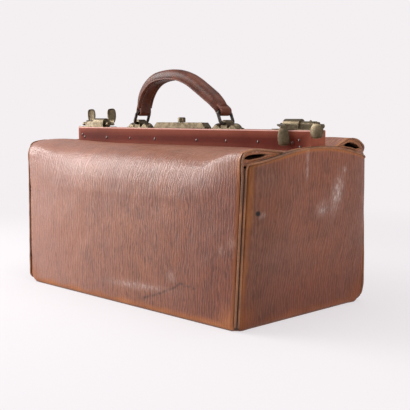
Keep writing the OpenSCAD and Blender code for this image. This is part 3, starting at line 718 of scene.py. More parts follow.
def add_side(name, side, profiles, nodes):
    rows = int((2 * SPRING + BASE_Y / 2) / SECTION_STEP)
    left, middle, right = (section(profile, rows) for profile in profiles)

    def sample(i, j):
        s = mix(-1, 1, j / (COLUMNS - 1))
        s = math.copysign(1 - (1 - abs(s)) ** COLUMN_POWER, s)
        y, z, along = mix(middle[i], right[i] if s > 0 else left[i], ramp(abs(s), *PROFILE_TURN))
        reach = half_length(min(z, SPRING)) - (NARROW_ROOM if s < 0 and side < 0 else WELT_ROOM)
        if z > SPRING - 4:
            reach = mix(reach, shoulder_end(y, z), ramp(TOP_Y + 1 - y, 0, 7))
        x = s * reach
        from_end = reach - abs(x)
        high = ramp(z, SOFT_Z, SPRING)
        free = ramp(z, HEM_R, 40)
        out = y + (face_swell(x, z) + LONG_WAVE * free * wander(x, side, z, 70, 3)
                   + SHORT_WAVE * free * wander(x, side, z, 22, 9)) * (1 - high)
        out -= FACE_TURN * (1 - ramp(from_end, 0, 5)) ** 2 * (1 - high)
        height = z + high * ramp(y, JAW_Y, 40) * (1.2 * wander(x, y * side, 0, 55, 5)
                                                  + 0.5 * wander(x, y * side, 0, 20, 8))
        sunk = sag(x, side, z) * s * s
        edge = 1 - ramp(from_end, 1, 7 + 3 * wander(x, side, z, 18, 4))
        base = 1 - ramp(z, 3, 13 + 7 * wander(x, side, 0, 30, 2))
        corner = (1 - ramp(math.hypot(from_end, z), 10, 42)) * 0.9
        # Painted contact shadow along the hem, where it meets the floor
        hem_shade = 0.7 * (1 - ramp(z, 0.6, 2.2))
        # Painted shade along the fold low on the front
        fold = front_fold_shade(x, z) if side < 0 and z < CREASE_REACH else 0
        marks = {"wear": max(edge * (0.7 if s > 0 else 0.35), base, corner * 0.8), "soft": high,
                 "scuff": front_scuffs(x, z) if side < 0 and y > TOP_Y else 0.05,
                 "crease": max(hem_shade, fold)}
        return worn((x + SAG_ALONG * sunk, out * side + sunk, height)), (x, along, side * 40), marks

    piece = add_sheet(name, SIDE_T, [LEATHER, CLOTH, EDGE], (0, side, 1), *sampled(rows, COLUMNS, sample))
    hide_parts(*nodes)
    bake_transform(piece)


def bend_points(side, profile):
    """Two points on the middle of a shoulder: at the top of its face, and where its profile meets the jaw."""
    start = Vector((0, side * TOP_Y, SPRING)) * MM
    end = Vector((0, side * profile[0][0], profile[0][1])) * MM
    return start, end


front_bend = bend_points(-1, FRONT_MIDDLE)
rear_bend = bend_points(1, REAR_MIDDLE)
FRONT_ENDS = (FRONT_LEFT, FRONT_RIGHT)
REAR_ENDS = (REAR_END, REAR_END)
add_side("front_leather", -1, (FRONT_LEFT, FRONT_MIDDLE, FRONT_RIGHT), ["front_panel", "front_shoulder"])
add_side("rear_leather", 1, (REAR_END, REAR_MIDDLE, REAR_END), ["rear_panel", "rear_shoulder"])

# End panels: stiff leather with an arched top

END_COLUMNS = 96
END_ROWS = 84
END_HEM_R = 7
END_T = PANEL_T - 0.4


def end_scuffs(y, z):
    """Pale scuffs high up, mostly towards the rear. The left end has them mirrored and fainter."""
    high = 0.75 * hump(y - (z - 150) * 0.15, 38, 10) * hump(z, 156, 21)
    high += 0.55 * hump(y, 12, 10) * hump(z, 138, 8)
    streak = 0.55 * hump(y, -26, 1.6) * ramp(z, 165, 190)
    spots = 0.9 * hump(y, 51, 2.2) * hump(z, 187, 3) + 0.6 * hump(y, -97, 3) * hump(z, 138, 3)
    return min(1, high + streak + spots)


def add_end(name, side, node):
    def sample(i, j):
        u = mix(-1, 1, j / (END_COLUMNS - 1))
        z = max(0.3, arch(u) * (i / (END_ROWS - 1)))
        y = u * (half_depth(z) - (NARROW_ROOM if u > 0 else WELT_ROOM))
        from_side = (1 - abs(u)) * half_depth(z)
        x = end_face(u, z) + 0.9 * wander(side, y, z, 60, 6) * ramp(z, 5, 40)
        x += 0.35 * wander(side, y, z, 20, 7)
        turn_start, turn_end = (3, 9) if u < 0 else (0, 5)
        x -= END_TURN[-1 if u < 0 else 1] * (1 - ramp(from_side, turn_start, turn_end)) ** 2
        sunk = sag(side, u, z) * u * u
        x += SAG_ALONG * sunk
        y += sunk
        hem = mix(2.5, 5.5, ramp(from_side, 5, 35))
        x -= hem * (1 - math.sin(math.acos(max(0, 1 - z / END_HEM_R)))) if z < END_HEM_R else 0
        edge = 1 - ramp(from_side, 3, 8 + 4 * wander(3, y, z, 18, 4))
        rim = 1 - ramp(arch(u) - z, 0.8, 5)
        base = 1 - ramp(z, 1, 14 + 7 * wander(5, y, 0, 30, 2))
        corner = 0.9 * (1 - ramp(math.hypot(from_side, z), 12, 48))
        marks = {"wear": max(edge * (0.65 if y < 0 else 0.5), rim * 0.75, base * 0.55, corner * 0.55),
                 "scuff": end_scuffs(y, z) if side > 0 else 0.3 * end_scuffs(-y, z)}
        return worn((side * x, y, z)), (y + 300 * side, z, 10), marks

    piece = add_sheet(name, END_T, [END_LEATHER, CLOTH, EDGE], (side, 0, 0),
                      *sampled(END_ROWS, END_COLUMNS, sample))
    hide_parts(node)
    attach(piece, "body")


add_end("right_end_leather", 1, "right_end_panel")
add_end("left_end_leather", -1, "left_end_panel")

# Base leather, base board and lining, worn round at the corners with the shell

BASE_COLUMNS = 60
BASE_ROWS = 40
BASE_INSET = PANEL_T + 0.5
BASE_T = PANEL_T - 0.2
BASE_Z = 0.05


def add_base():
    def sample(i, j):
        x = mix(-1, 1, j / (BASE_COLUMNS - 1)) * (BASE_X - BASE_INSET)
        y = mix(-1, 1, i / (BASE_ROWS - 1)) * (BASE_Y - BASE_INSET)
        p = worn((x, y, BASE_Z))
        return p, (p[1], p[0], 0), {"wear": 0.25 + 0.5 * (1 - ramp(BASE_Y - abs(p[1]), 0, 25)), "scuff": 0.2}

    piece = add_sheet("base_leather", BASE_T, [LEATHER, CLOTH, EDGE], (0, 0, -1),
                      *sampled(BASE_ROWS, BASE_COLUMNS, sample))
    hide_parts("bottom_panel")
    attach(piece, "body")


# Distances between the cuts that let a plain solid follow the round corners, across and up
CUT_STEP = 5.6
CUT_RISE = 6


def cut_places():
    """Each cut's axis and its place along it."""
    for axis, limit in ((0, BASE_X), (1, BASE_Y)):
        for k in range(1, 6):
            for sign in (-1, 1):
                yield axis, sign * (limit - CUT_STEP * k)
    for k in range(1, 5):
        yield 2, CUT_RISE * k


def cleaned(mesh, distance, angle):
    """The mesh of a plain node to work on, without doubled points and the lines across its flat faces."""
    work = bmesh.new()
    work.from_mesh(mesh)
    bmesh.ops.remove_doubles(work, verts=work.verts, dist=distance)
    bmesh.ops.dissolve_limit(work, angle_limit=angle, verts=work.verts, edges=work.edges)
    return work


def add_worn_copy(name, node, material):
    """A copy of a plain node, cut finely enough to follow the round corners."""
    source = cleaned(frame["nodes"][node].data, distance=1e-5, angle=0.02)
    for axis, at in cut_places():
        place, normal = Vector((0, 0, 0)), Vector((0, 0, 0))
        place[axis] = at * MM
        normal[axis] = 1
        bmesh.ops.bisect_plane(source, geom=source.verts[:] + source.edges[:] + source.faces[:],
                               plane_co=place, plane_no=normal)
    for vertex in source.verts:
        vertex.co = Vector(worn(tuple(vertex.co / MM))) * MM
    mesh = bpy.data.meshes.new(name)
    source.to_mesh(mesh)
    source.free()
    set_material(mesh, material)
    piece = add_object(name, mesh)
    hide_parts(node)
    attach(piece, "body")
    return piece


add_base()
add_worn_copy("lining_box", "lining", CLOTH)
add_worn_copy("base_stiffener", "base_board", BOARD)

# Welts: at each upright corner one strip follows the end panel over its arch,
# and one follows the front or rear leather over the end of its shoulder

STRIP_R = 1.4
STRIP_SIDE = 2.05
STRIP_STEPS = 60
# How far a strip's foot is tucked in over its first points, and how far a strip wavers
STRIP_TUCK = 5
TUCK_POINTS = 3
STRIP_WAVE = 0.3
SEAM_R = 3.5
SEAM_DEPTH = {-1: 6, 1: 5}
# How far a strip sinks below the end of its shoulder, and stands out past it
RIM_SINK = 0.6
# How finely that end is followed, its least height and distance from the middle, and where the sinking grows
RIM_ROWS = 420
RIM_STEP = 3
RIM_LOW = SPRING - 8
RIM_NEAR = 68
SINK_FADE = (112, 120)
BINDING_STEPS = 90
# The layers of a binding behind its strip: name, inset from the end face, lift over the arch, radius, finish.
# The middle one is a dark line of painted shade
BINDING_LAYERS = (("middle", 2.6, 0.9, 1.0, FOLD_SHADE), ("inner", 5.0, 1.0, 1.2, EDGE))
# How far the strips stand proud of each upright corner, by the signs of x and y
PROUD = {(1, -1): -1.9, (1, 1): -2.8, (-1, -1): -1.4, (-1, 1): -2.8}


def corner_point(sx, sy, z, aside, proud):
    """A point beside an upright corner of the body, aside towards the end panel and proud of the corner."""
    d = math.sqrt(0.5)
    out = sag(sx, sy, z)
    x = half_length(z) + d * (proud + aside) + SAG_ALONG * out
    return sx * x, sy * (half_depth(z) + d * (proud - aside) + out), z


def corner_proud(sx, sy, z):
    if (sx, sy) == (1, 1):
        return PROUD[sx, sy] - 1.4 * ramp(z, 165, 188)
    if (sx, sy) == (-1, -1):
        return PROUD[sx, sy] + 0.8 * (1 - ramp(z, 20, 150))
    return PROUD[sx, sy]


def upright(sx, sy, top, aside, lane, seed):
    """Points of a strip beside an upright corner, from the floor up. Each lane wavers in its own way."""
    points = []
    for k, z in enumerate(spread(1, top, STRIP_STEPS)):
        proud = corner_proud(sx, sy, z) - STRIP_TUCK * (1 - ramp(k, 0, TUCK_POINTS))
        proud += STRIP_WAVE * wander(sx, sy * lane, z, 15, seed)
        points.append(worn(corner_point(sx, sy, z, aside, proud)))
    return points


def over_arch(sx, reach, half, inset, lift, place, seed):
    """Points of a strip over the arch of an end panel, out to a share of its half width."""
    points = []
    for u in spread(-reach, reach, BINDING_STEPS + 1):
        z = arch(u)
        points.append((sx * (end_face(u, z) - inset), u * half,
                       z + lift + STRIP_WAVE * wander(place, u * 120, 0, 17, seed)))
    return points


def add_end_strips():
    half = half_depth(SPRING)
    for sx in (-1, 1):
        front, rear = (upright(sx, sy, SPRING - 6, STRIP_SIDE, lane=7, seed=1) for sy in (-1, 1))
        top = over_arch(sx, 0.985, half - 2, inset=0.7, lift=0.2, place=sx, seed=3)
        path = front + top + rear[::-1]
        strip = add_strip(f"end_strip_{end_name(sx)}", path, STRIP_R, EDGE, sx, body="body")
        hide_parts("corner_welts")
        for layer, inset, lift, radius, material in BINDING_LAYERS:
            path = over_arch(sx, 0.97, half, inset, lift, place=sx * inset, seed=inset)
            binding = add_strip(f"binding_{layer}_{end_name(sx)}", path, thinned(radius, 0.3, 9), material,
                                sx, body="body")
            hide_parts("end_bindings")


def shoulder_rim(side, profile, sx):
    """Points along the end of a shoulder, from its lower edge over to where it dips behind the arch."""
    points = []
    for y, z, _ in section(profile, RIM_ROWS):
        if z > RIM_LOW and y > RIM_NEAR:
            out = y - RIM_SINK * ramp(y, *SINK_FADE)
            points.append((sx * (shoulder_end(y, z) + RIM_SINK), side * out, z - RIM_SINK))
    return points


def add_side_strips():
    for side, profiles, pair, bend in ((-1, FRONT_ENDS, ("body", "front_jaw"), front_bend),
                                       (1, REAR_ENDS, ("body", "rear_jaw"), rear_bend)):
        for sx in (-1, 1):
            label = corner_name(sx, side)
            path = upright(sx, side, SPRING - 14, -STRIP_SIDE, lane=5, seed=5)
            path += shoulder_rim(side, profiles[sx > 0], sx)[::RIM_STEP]
            strip = add_strip(f"side_strip_{label}", path, lambda t: STRIP_R * min(1, 0.35 + 12 * (1 - t)),
                              EDGE, sx)
            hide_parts("corner_welts")
            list(pair)
            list(bend)
            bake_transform(strip)
            heights = spread(1.5, SPRING - 4, STRIP_STEPS)
            # A near-black tube in each corner's gap: painted shade between the strips
            path = [worn(corner_point(sx, side, z, 0, -SEAM_DEPTH[side])) for z in heights]
            seam = add_strip(f"corner_seam_{label}", path, SEAM_R, FOLD_SHADE, sx, body="body")
            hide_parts("corner_welts")


add_end_strips()
add_side_strips()

# Corner pleats: folded leather between the end of a shoulder and the arch, with painted shade in its mouth

PLEAT_STEPS = 46
PLEAT_T = 1.0
PLEAT_EDGE_R = 0.8
PLEAT_END = 32
# Depth of a pleat where it is shut, how much deeper it grows, and the room for its full depth
PLEAT_SHALLOW = 3
PLEAT_DEPTH = 22
PLEAT_ROOM = 11
# The points down a pleat that lie on its upper layer, in its mouth and on its lip
ON_LAYER = slice(0, 6)
IN_MOUTH = slice(7, 15)
ON_LIP = slice(15, 19)
# Where each mouth starts, is fully open, starts to close and ends, as distances from the middle
FRONT_MOUTH = (91, 101, 112, 118)
REAR_MOUTH = (50, 61, 80, 93)


def rim_height(profile, y):
    outline = section(profile, 200)[::-1]
    on_top = outline[:, 1] > SPRING - 5
    return float(np.interp(y, outline[on_top, 0], outline[on_top, 1]))


def pleat_rows(sx, side, y, profile, mouth_places):
    """Points down a pleat at a distance from the middle: its fold, its upper layer and its lip."""
    z_floor = arch(share(y)) + 2
    reach = shoulder_end(y, z_floor)
    z_top = rim_height(profile, y) - 1.4
    room = max(0.3, z_top - z_floor)
    start, opened, closing, end = mouth_places
    mouth = ramp(y, start, opened) * (1 - ramp(y, closing, end))
    band = room * mix(0.42, 0.3, mouth)
    ledge = room * mix(0.5, 0.2, mouth)
    z_hi, z_lo = z_top - band, z_floor + ledge
    depth = PLEAT_SHALLOW + PLEAT_DEPTH * min(1, room / PLEAT_ROOM)
    wave = 0.7 * wander(y, side * 3, sx, 16, 7)
    rows = [(reach - 0.2, z_top), (reach + 0.2, z_top - band * 0.5), (reach - 0.8, z_hi),
            (reach - depth, mix(z_hi, z_lo, 0.1)), (reach - depth, mix(z_hi, z_lo, 0.8)),
            (reach - 1.2 + wave, z_lo), (reach - 0.4, z_floor + ledge * 0.4), (reach - 0.9, z_floor - 4)]
    fold = curve_points([(sx * x, side * y, z) for x, z in rows], 3)
    return fold, (sx * (reach - 0.5), side * y, z_hi), (sx * (reach - 0.9 + wave), side * y, z_lo)


def add_pleats(side, profiles, mouth_places, node):
    for sx in (-1, 1):
        label = corner_name(sx, side)
        places = spread(TOP_Y - 2, PLEAT_END, PLEAT_STEPS + 1)
        fold, upper, lip = zip(*(pleat_rows(sx, side, y, profiles[sx > 0], mouth_places) for y in places))
        fold = np.array(fold)
        wear = np.zeros(fold.shape[:2])
        wear[:, ON_LAYER] = 0.3
        wear[:, ON_LIP] = 0.35
        # Painted shade inside the mouth of each pleat
        dark = np.zeros(fold.shape[:2])
        dark[:, IN_MOUTH] = 1
        marks = {"wear": wear, "scuff": wear * 0, "soft": wear * 0 + 1, "crease": dark}
        grain = fold[:, :, [1, 2, 0]]
        piece = add_sheet(f"pleat_{label}", PLEAT_T, [LEATHER, FOLD_SHADE, EDGE], (sx, 0, 0), fold, grain, marks)
        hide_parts(node)
        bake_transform(piece)
        for edge_name, path in (("layer", upper), ("lip", lip)):
            edge = add_strip(f"pleat_{edge_name}_{label}", path, thinned(PLEAT_EDGE_R, 0.2, 6), EDGE, sx,
                             segments=6)
            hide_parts(node)
            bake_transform(edge)


add_pleats(-1, FRONT_ENDS, FRONT_MOUTH, "front_corner_pleats")
add_pleats(1, REAR_ENDS, REAR_MOUTH, "rear_corner_pleats")

# Rounded copies of the hard pieces, so that their edges catch the light

# The jaws' leather is rubbed over this distance from their ends, from where it starts to where it is full
JAW_RUB = (5, 1)
# Width of the rounding on each piece
ROUNDED = {"front_jaw_cover": 1.1, "rear_jaw_cover": 1.1, "lock_case": 2.2, "lock_knob": 0.6,
           "left_catch_base": 0.8, "right_catch_base": 0.8, "left_ring_plate": 0.5, "right_ring_plate": 0.5,
           "lock_hook": 0.3}


def add_rounded(node, width):
    mesh = frame["nodes"][node].data.copy()
    mesh.name = f"{node}_rounded"
    work = cleaned(mesh, distance=2e-6, angle=0.01)
    work.to_mesh(mesh)
    work.free()
    place = np.zeros(len(mesh.vertices) * 3, np.float32)
    mesh.vertices.foreach_get("co", place)
    store(mesh, "rest", place, "FLOAT_VECTOR")
    rubbed = [FRAME_X - distance for distance in JAW_RUB]
    store(mesh, "wear", [ramp(abs(x) / MM, *rubbed) for x in place[::3]])
    piece = add_object(f"{node}_rounded", mesh)
    bevel = piece.modifiers.new("round", "BEVEL")
    bevel.width = width * MM
    bevel.segments = 3
    bevel.limit_method = "ANGLE"
    bevel.angle_limit = 0.6
    bevel.use_clamp_overlap = True
    mesh.polygons.foreach_set("use_smooth", [True] * len(mesh.polygons))
    mesh.set_sharp_from_angle(angle=math.radians(50))
    slot = SLOT_OF[node]
    set_material(mesh, SLOTS[slot])
    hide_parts(node)
    body = next(name for name, nodes in frame["record"]["behaviour"]["bodies"].items() if node in nodes)
    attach(piece, body)


for rounded_node, rounded_width in ROUNDED.items():
    add_rounded(rounded_node, rounded_width)

# Catch levers: a spindle with a curved arm and an ear at each end

LEVER_LOW, LEVER_HIGH = box_mm("right_catch_lever")
SPINDLE_Y = 1
SPINDLE_Z = JAW_TOP + 5
SPINDLE_R = 2
HUB_R = SPINDLE_R + 1.8
COLLAR_R = SPINDLE_R + 0.8
DISC_BEVEL = 0.4
DISC_SEGMENTS = 24
ARM_HALF = 3.5
ARM_STEPS = 16
EAR_T = 2.2
EAR_Y = -JAW_Y - 5
INNER_EAR_X = LEVER_LOW.x + ARM_HALF + 19.5
OUTER_ARM_X = LEVER_HIGH.x - 17
# Half widths of an ear from its arm to its tip, as shares of its greatest half width
EAR_OUTLINE = [(0, 0.42), (0.1, 0.6), (0.25, 0.84), (0.42, 0.97), (0.6, 1), (0.76, 0.93), (0.88, 0.74),
               (0.96, 0.46), (1, 0.16)]


def arm_path(neck_x, ear_x, ear_top, ear_bottom):
    """Points of an arm from the spindle over the jaw's edge and down its face, for a closed lever."""
    path = [(neck_x, 0, SPINDLE_Z + 1.1), (neck_x + 0.3, -6, SPINDLE_Z + 1.3),
            (mix(neck_x, ear_x, 0.25), -11.5, SPINDLE_Z + 1.2),
            (mix(neck_x, ear_x, 0.62), EAR_Y + 3.2, SPINDLE_Z + 0.4),
            (mix(neck_x, ear_x, 0.88), EAR_Y, ear_top)]
    for t, _ in EAR_OUTLINE[1:]:
        path.append((mix(ear_x, neck_x, 0.12 * (1 - t)), EAR_Y - 0.6 * math.sin(math.pi * t),
                     mix(ear_top, ear_bottom, t)))
    return path


def add_arm(points, faces, neck_x, ear_x, ear_top, ear_bottom, half, splay, disc=False):
    """An arm with its dished ear, whose outline is an oval where it is called a disc."""
    path = curve_points(arm_path(neck_x, ear_x, ear_top, ear_bottom), 4)
    start = len(points)
    rows = len(path)
    for i, p in enumerate(path):
        forward = Vector(path[min(i + 1, rows - 1)] - path[max(i - 1, 0)]).normalized()
        t = max(0, (i - ARM_STEPS) / (rows - 1 - ARM_STEPS))
        width = float(np.interp(t, *zip(*EAR_OUTLINE))) * half
        if disc:
            width = half * max(0.42 * (1 - t), math.sqrt(max(0.02, 1 - (2 * t - 1) ** 2)))
        if i < ARM_STEPS:
            width = mix(ARM_HALF, EAR_OUTLINE[0][1] * half, i / ARM_STEPS)
        turn = splay * ramp(i, ARM_STEPS - 6, ARM_STEPS + 6)
        side = Vector((math.cos(turn), -math.sin(turn), 0))
        side = (side - forward * side.dot(forward)).normalized()
        normal = side.cross(forward).normalized()
        dish = 0.7 * ramp(t, 0.05, 0.25) * ramp(1 - t, 0.05, 0.2) * ramp(width, 3, 6)
        ring = ((-1, -0.3), (-1, 0.3), (-0.86, 0.5), (-0.7, 0.5 - dish), (0.7, 0.5 - dish), (0.86, 0.5),
                (1, 0.3), (1, -0.3), (0.86, -0.5), (-0.86, -0.5))
        for across, out in ring:
            points.append(Vector(p) + side * across * width + normal * out * EAR_T)
    faces += bar_faces(rows, len(ring), start)


def add_disc(points, faces, x0, x1, radius):
    """A short round bar along the spindle."""
    start = len(points)
    small = radius - DISC_BEVEL
    for x, r in ((x0, small), (x0 + DISC_BEVEL, radius), (x1 - DISC_BEVEL, radius), (x1, small)):
        points += [Vector((x, SPINDLE_Y + r * c, SPINDLE_Z + r * s)) for c, s in circle(DISC_SEGMENTS)]
    faces += bar_faces(4, DISC_SEGMENTS, start)


def add_lever(node, side, open_turn, inner_ear, outer_ear):
    """A lever, drawn closed on the right; the left one is its mirror image, turned open.

    An ear is given by its distance aside, half width, turn and whether it is a disc. The outer one's top and
    bottom come after its distance.
    """
    points, faces = [], []
    add_disc(points, faces, LEVER_LOW.x - 0.3, LEVER_LOW.x + 2 * ARM_HALF, HUB_R)
    add_disc(points, faces, LEVER_LOW.x, OUTER_ARM_X + 1, SPINDLE_R)
    add_disc(points, faces, OUTER_ARM_X - ARM_HALF, OUTER_ARM_X + 1.5, COLLAR_R)
    add_arm(points, faces, LEVER_LOW.x + ARM_HALF, INNER_EAR_X - inner_ear[0], SPINDLE_Z - 1,
            LEVER_LOW.z + 0.4, *inner_ear[1:])
    add_arm(points, faces, OUTER_ARM_X, OUTER_ARM_X + outer_ear[0], *outer_ear[1:])
    if open_turn:
        points = [(q.x, 2 * SPINDLE_Y - q.y, 2 * SPINDLE_Z - q.z) for q in points]
    if side < 0:
        faces = [face[::-1] for face in faces]
    lever = add_piece(f"{node}_shape", [(side * q[0], q[1], q[2]) for q in points], faces, [BRASS])
    lever.data.set_sharp_from_angle(angle=math.radians(40))
    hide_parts(node)
    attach(lever, f"{end_name(side)}_catch")


add_lever("right_catch_lever", 1, False, (0, 8.2, -0.2),
          (8, SPINDLE_Z + 4, SPINDLE_Z - 14.5, 9.8, 0.02, True))
add_lever("left_catch_lever", -1, True, (2, 8.2, -0.3, True),
          (8, SPINDLE_Z - 1, SPINDLE_Z - 24, 8.4, -0.15, True))

# Handle: a padded strap with a flat stitched underside

HANDLE_Y = jaw_low.y / 2
loops_low, loops_high = box_mm("handle_loops")
LOOP_R = (loops_high.z - loops_low.z) / 2
HANDLE_Z = (loops_high.z + loops_low.z) / 2
HANDLE_X = loops_high.x - LOOP_R
# Height of the strap above and below its middle line, along it and at its ends, and its half width
GRIP_CROWN = 10
GRIP_UNDER = 5
END_CROWN = 5.6
END_UNDER = 4.2
GRIP_HALF = 14
GRIP_END_HALF = 13.2
HANDLE_RISE = box_mm("handle_cover")[1].z - HANDLE_Z - GRIP_CROWN
# The middle line, as shares of the handle's half length and rise
GRIP_LINE = [(-1, 0.02), (-0.985, 0.26), (-0.915, 0.52), (-0.79, 0.755), (-0.62, 0.92), (-0.39, 0.995),
             (-0.12, 1), (0.10, 0.94), (0.31, 0.81), (0.51, 0.62), (0.69, 0.43), (0.86, 0.25), (1, 0.03)]
GRIP_STEPS = 14
CROWN_STEPS = 21
CROWN_POWER = 2.8
FLANGE = 2.4
FLANGE_T = 2.6
END_CLEAR = 3.6
CORE_INSET = 2


def grip_frame():
    """Centre points of the grip, its upward directions, and each point's distance from the nearer end."""
    line = curve_points(GRIP_LINE, GRIP_STEPS)
    centre = [Vector((x * HANDLE_X, HANDLE_Y, HANDLE_Z + rise * HANDLE_RISE)) for x, rise in line]
    up = []
    for i in range(len(centre)):
        d = (centre[min(i + 1, len(centre) - 1)] - centre[max(i - 1, 0)]).normalized()
        up.append(Vector((-d.z, 0, d.x)))
    steps = [(b - a).length for a, b in zip(centre, centre[1:])]
    from_start = [sum(steps[:i]) for i in range(len(centre))]
    near = [min(d, from_start[-1] - d) for d in from_start]
    return centre, up, near


def grip_fullness(near):
    """How fully padded the strap is, at a distance from its nearer end."""
    return ramp(near, END_CLEAR - 4, END_CLEAR + 26)


def grip_under(near):
    return mix(END_UNDER, GRIP_UNDER, grip_fullness(near))


def grip_section(near, inset=0.0):
    """Outline across the strap: distance along Y and height, with how worn it is."""
    half = mix(GRIP_END_HALF, GRIP_HALF, ramp(near, END_CLEAR, END_CLEAR + 9)) - inset * 2
    crown = mix(END_CROWN, GRIP_CROWN, grip_fullness(near)) - inset
    under = grip_under(near) - inset
    flange = FLANGE_T - under
    body_half = half - FLANGE
    outline = []
    for y in spread(-body_half, body_half, CROWN_STEPS):
        height = flange + (crown - flange) * (1 - abs(y / body_half) ** CROWN_POWER) ** 0.5
        outline.append((y, height, 0.0))
    edge = [(half - 0.7, flange - 0.2, 0.35), (half, flange - FLANGE_T / 2, 0.7),
            (half - 0.5, -under + 0.2, 0.5), (body_half, -under, 0.1), (body_half - 1.2, -under + 0.5, 0)]
    return outline + edge + [(0, -under + 0.6, 0)] + [(-y, h, rub) for y, h, rub in edge[::-1]]


def sweep_grip(name, clear, inset, materials):
    points, wear = [], []
    count = 0
    for c, n, distance in zip(*grip_frame()):
        if distance < clear:
            continue
        ring = grip_section(distance, inset)
        count = len(ring)
        for y, h, rub in ring:
            p = c + Vector((0, y, 0)) + n * h
            soft = 0.3 * wander(p.x, p.y, p.z, 13, 2) if inset == 0 else 0
            points.append(p + n * soft)
            patch = ramp(wander(p.x, p.y, p.z, 16, 4), 0.0, 0.6)
            wear.append(rub + (0.5 * patch if h > GRIP_CROWN * 0.7 else 0))
    faces = bar_faces(len(points) // count, count, flip=True)
    return add_piece(name, points, faces, materials, body="handle", marks={"wear": wear})


grip = sweep_grip("grip", END_CLEAR, 0.0, [HANDLE_LEATHER])
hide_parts("handle_cover")
core = sweep_grip("grip_core", END_CLEAR + 8, CORE_INSET, [BOARD])
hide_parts("handle_core")

# Distance from stitch to stitch, length of each one, and how far it is sunk in the leather
STITCH = 4.2
THREAD_LENGTH = STITCH * 0.7
THREAD_SINK = 0.25
STITCH_SIDE = 8
STITCH_CLEAR = END_CLEAR + 2


def add_stitches():
    """Two rows of thread along the underside of the grip."""
    centre, up, near = grip_frame()
    start = next(i for i, d in enumerate(near) if d > STITCH_CLEAR)
    points, faces = [], []
    travelled, last = 0.0, 0.0
    for i in range(start, len(centre) - 1):
        step = centre[i + 1] - centre[i]
        travelled += step.length
        if near[i] < STITCH_CLEAR or travelled - last < STITCH:
            continue
        last = travelled
        for side in (-1, 1):
            a = centre[i] + Vector((0, side * STITCH_SIDE, 0)) - up[i] * (grip_under(near[i]) - THREAD_SINK)
            first = len(points)
            for share_along, r in ((0, 0.2), (0.2, 0.5), (0.8, 0.5), (1, 0.2)):
                p = a + step.normalized() * share_along * THREAD_LENGTH
                points += [p + Vector((0, c * r, 0)) + up[i] * s * r for c, s in circle(6)]
            faces += bar_faces(4, 6, first)
    stitches = add_piece("grip_stitches", points, faces, [THREAD], body="handle")


add_stitches()

TONGUE_HALF = 9.9
TONGUE_REACH = 10
TONGUE_T = 2.6
TONGUE_POINTS = 44
# Rounding of the tongue's sides: distance from its edge, how far it draws in, how rubbed it is
TONGUE_ROUND = ((0, 0.8, 0.9), (0.5, 0.3, 0.7), (1.6, 0, 0.15))


def add_tongue(side):
    """A tongue of leather folded round the ring and drawn into the end of the grip."""
    order = grip_frame()[0][::-side]
    at = next(p for p in order if (p - order[0]).length > TONGUE_REACH)
    toward = (at - order[0]).normalized()
    across = Vector((-toward.z, 0, toward.x))
    outer, inner = [], []
    for c, s in circle(TONGUE_POINTS):
        direction = toward * c + across * s
        radius = mix(LOOP_R + 0.5, LOOP_R * 0.6, ramp(c, 0.1, 0.9))
        outer.append(direction * radius + toward * TONGUE_REACH * ramp(c, 0.1, 0.6))
        inner.append(direction * (LOOP_R - TONGUE_T))
    middle = Vector((side * HANDLE_X, HANDLE_Y, HANDLE_Z))
    rings = [(inside - TONGUE_HALF, shrink, rub, outer) for inside, shrink, rub in TONGUE_ROUND]
    rings += [(TONGUE_HALF - inside, shrink, rub, outer) for inside, shrink, rub in TONGUE_ROUND[::-1]]
    rings += [(TONGUE_HALF, 0, 0.2, inner), (-TONGUE_HALF, 0, 0.2, inner)]
    points, wear = [], []
    for y, shrink, rub, ring in rings:
        points += [middle + p * (1 - shrink / LOOP_R) + Vector((0, y, 0)) for p in ring]
        wear += [rub] * TONGUE_POINTS
    faces = grid_faces(len(rings), TONGUE_POINTS, close=True)
    for j in range(TONGUE_POINTS):
        n = (j + 1) % TONGUE_POINTS
        last = (len(rings) - 1) * TONGUE_POINTS
        faces.append((last + j, last + n, n, j))
    tongue = add_piece(f"tongue_{end_name(side)}", points, [face[::-1] for face in faces], [HANDLE_LEATHER],
                       body="handle", marks={"wear": wear})
    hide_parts("handle_loops")


add_tongue(-1)
add_tongue(1)

# Studio: pale floor, open background and soft lamps

BACKGROUND = (0.905, 0.868, 0.885)
FLOOR_COLOR = (0.74, 0.715, 0.725)
FLOOR_HALF = 12


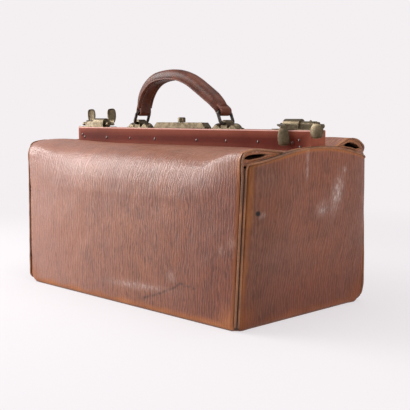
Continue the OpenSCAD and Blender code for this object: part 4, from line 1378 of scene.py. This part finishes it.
def add_floor():
    """A floor that turns into the background far from the bag."""
    tree = new_tree("floor")
    tree.finish(FLOOR_COLOR, 0.9, specular=0.1)
    distance = tree.node("VectorMath", "Value", {0: tree.place()}, operation="LENGTH")
    seen = tree.math("MAXIMUM", tree.seen_by("Glossy"), tree.seen_by("Transmission"))
    seen = tree.math("MAXIMUM", tree.seen_by("Camera"), seen)
    seen = tree.times(tree.span(distance, 0.4, 1.3, 0.66, 1.0), seen)
    glow = tree.node("Emission", 0, {"Color": BACKGROUND})
    tree.show(seen, tree.nodes["Principled BSDF"].outputs[0], glow, "Material Output")
    mesh = bpy.data.meshes.new("floor")
    corners = [(x * FLOOR_HALF, y * FLOOR_HALF, 0) for x, y in ((-1, -1), (1, -1), (1, 1), (-1, 1))]
    mesh.from_pydata(corners, [], [(0, 1, 2, 3)])
    mesh.materials.append(tree.owner)
    add_object("floor", mesh)


def set_world():
    world = bpy.data.worlds.new("studio")
    bpy.context.scene.world = world
    tree = Tree(world)
    ambient = tree.nodes["Background"]
    tree.fill(ambient, {"Color": (0.95, 0.95, 1.0), "Strength": 0.42})
    shown = tree.node("Background", 0, {"Color": BACKGROUND, "Strength": 1})
    seen = tree.math("MAXIMUM", tree.seen_by("Camera"), tree.seen_by("Transmission"))
    tree.show(seen, ambient.outputs[0], shown, "World Output")


def add_lamp(name, place, target, size, power, color=(1, 1, 1)):
    data = bpy.data.lights.new(name, "AREA")
    data.shape = "RECTANGLE"
    data.size, data.size_y = size
    data.energy = power
    data.color = color
    lamp = add_object(name, data)
    lamp.location = place
    lamp.rotation_euler = (Vector(target) - Vector(place)).to_track_quat("-Z", "Y").to_euler()


add_floor()
set_world()
add_lamp("key", (-1.25, -0.72, 0.62), (0, -0.05, 0.12), (0.9, 0.9), 21, (1, 0.985, 0.98))
add_lamp("high", (-0.78, -0.62, 1.0), (0, -0.1, 0.18), (1.2, 0.4), 9.5, (1, 0.99, 0.99))
add_lamp("top", (0.2, 0.1, 1.6), (0, 0, 0.1), (1.4, 1.1), 9)
add_lamp("right", (1.6, -0.25, 0.8), (0.1, 0.05, 0.12), (1.0, 1.0), 12, (1, 0.98, 0.96))

bpy.context.scene.view_settings.view_transform = "Standard"
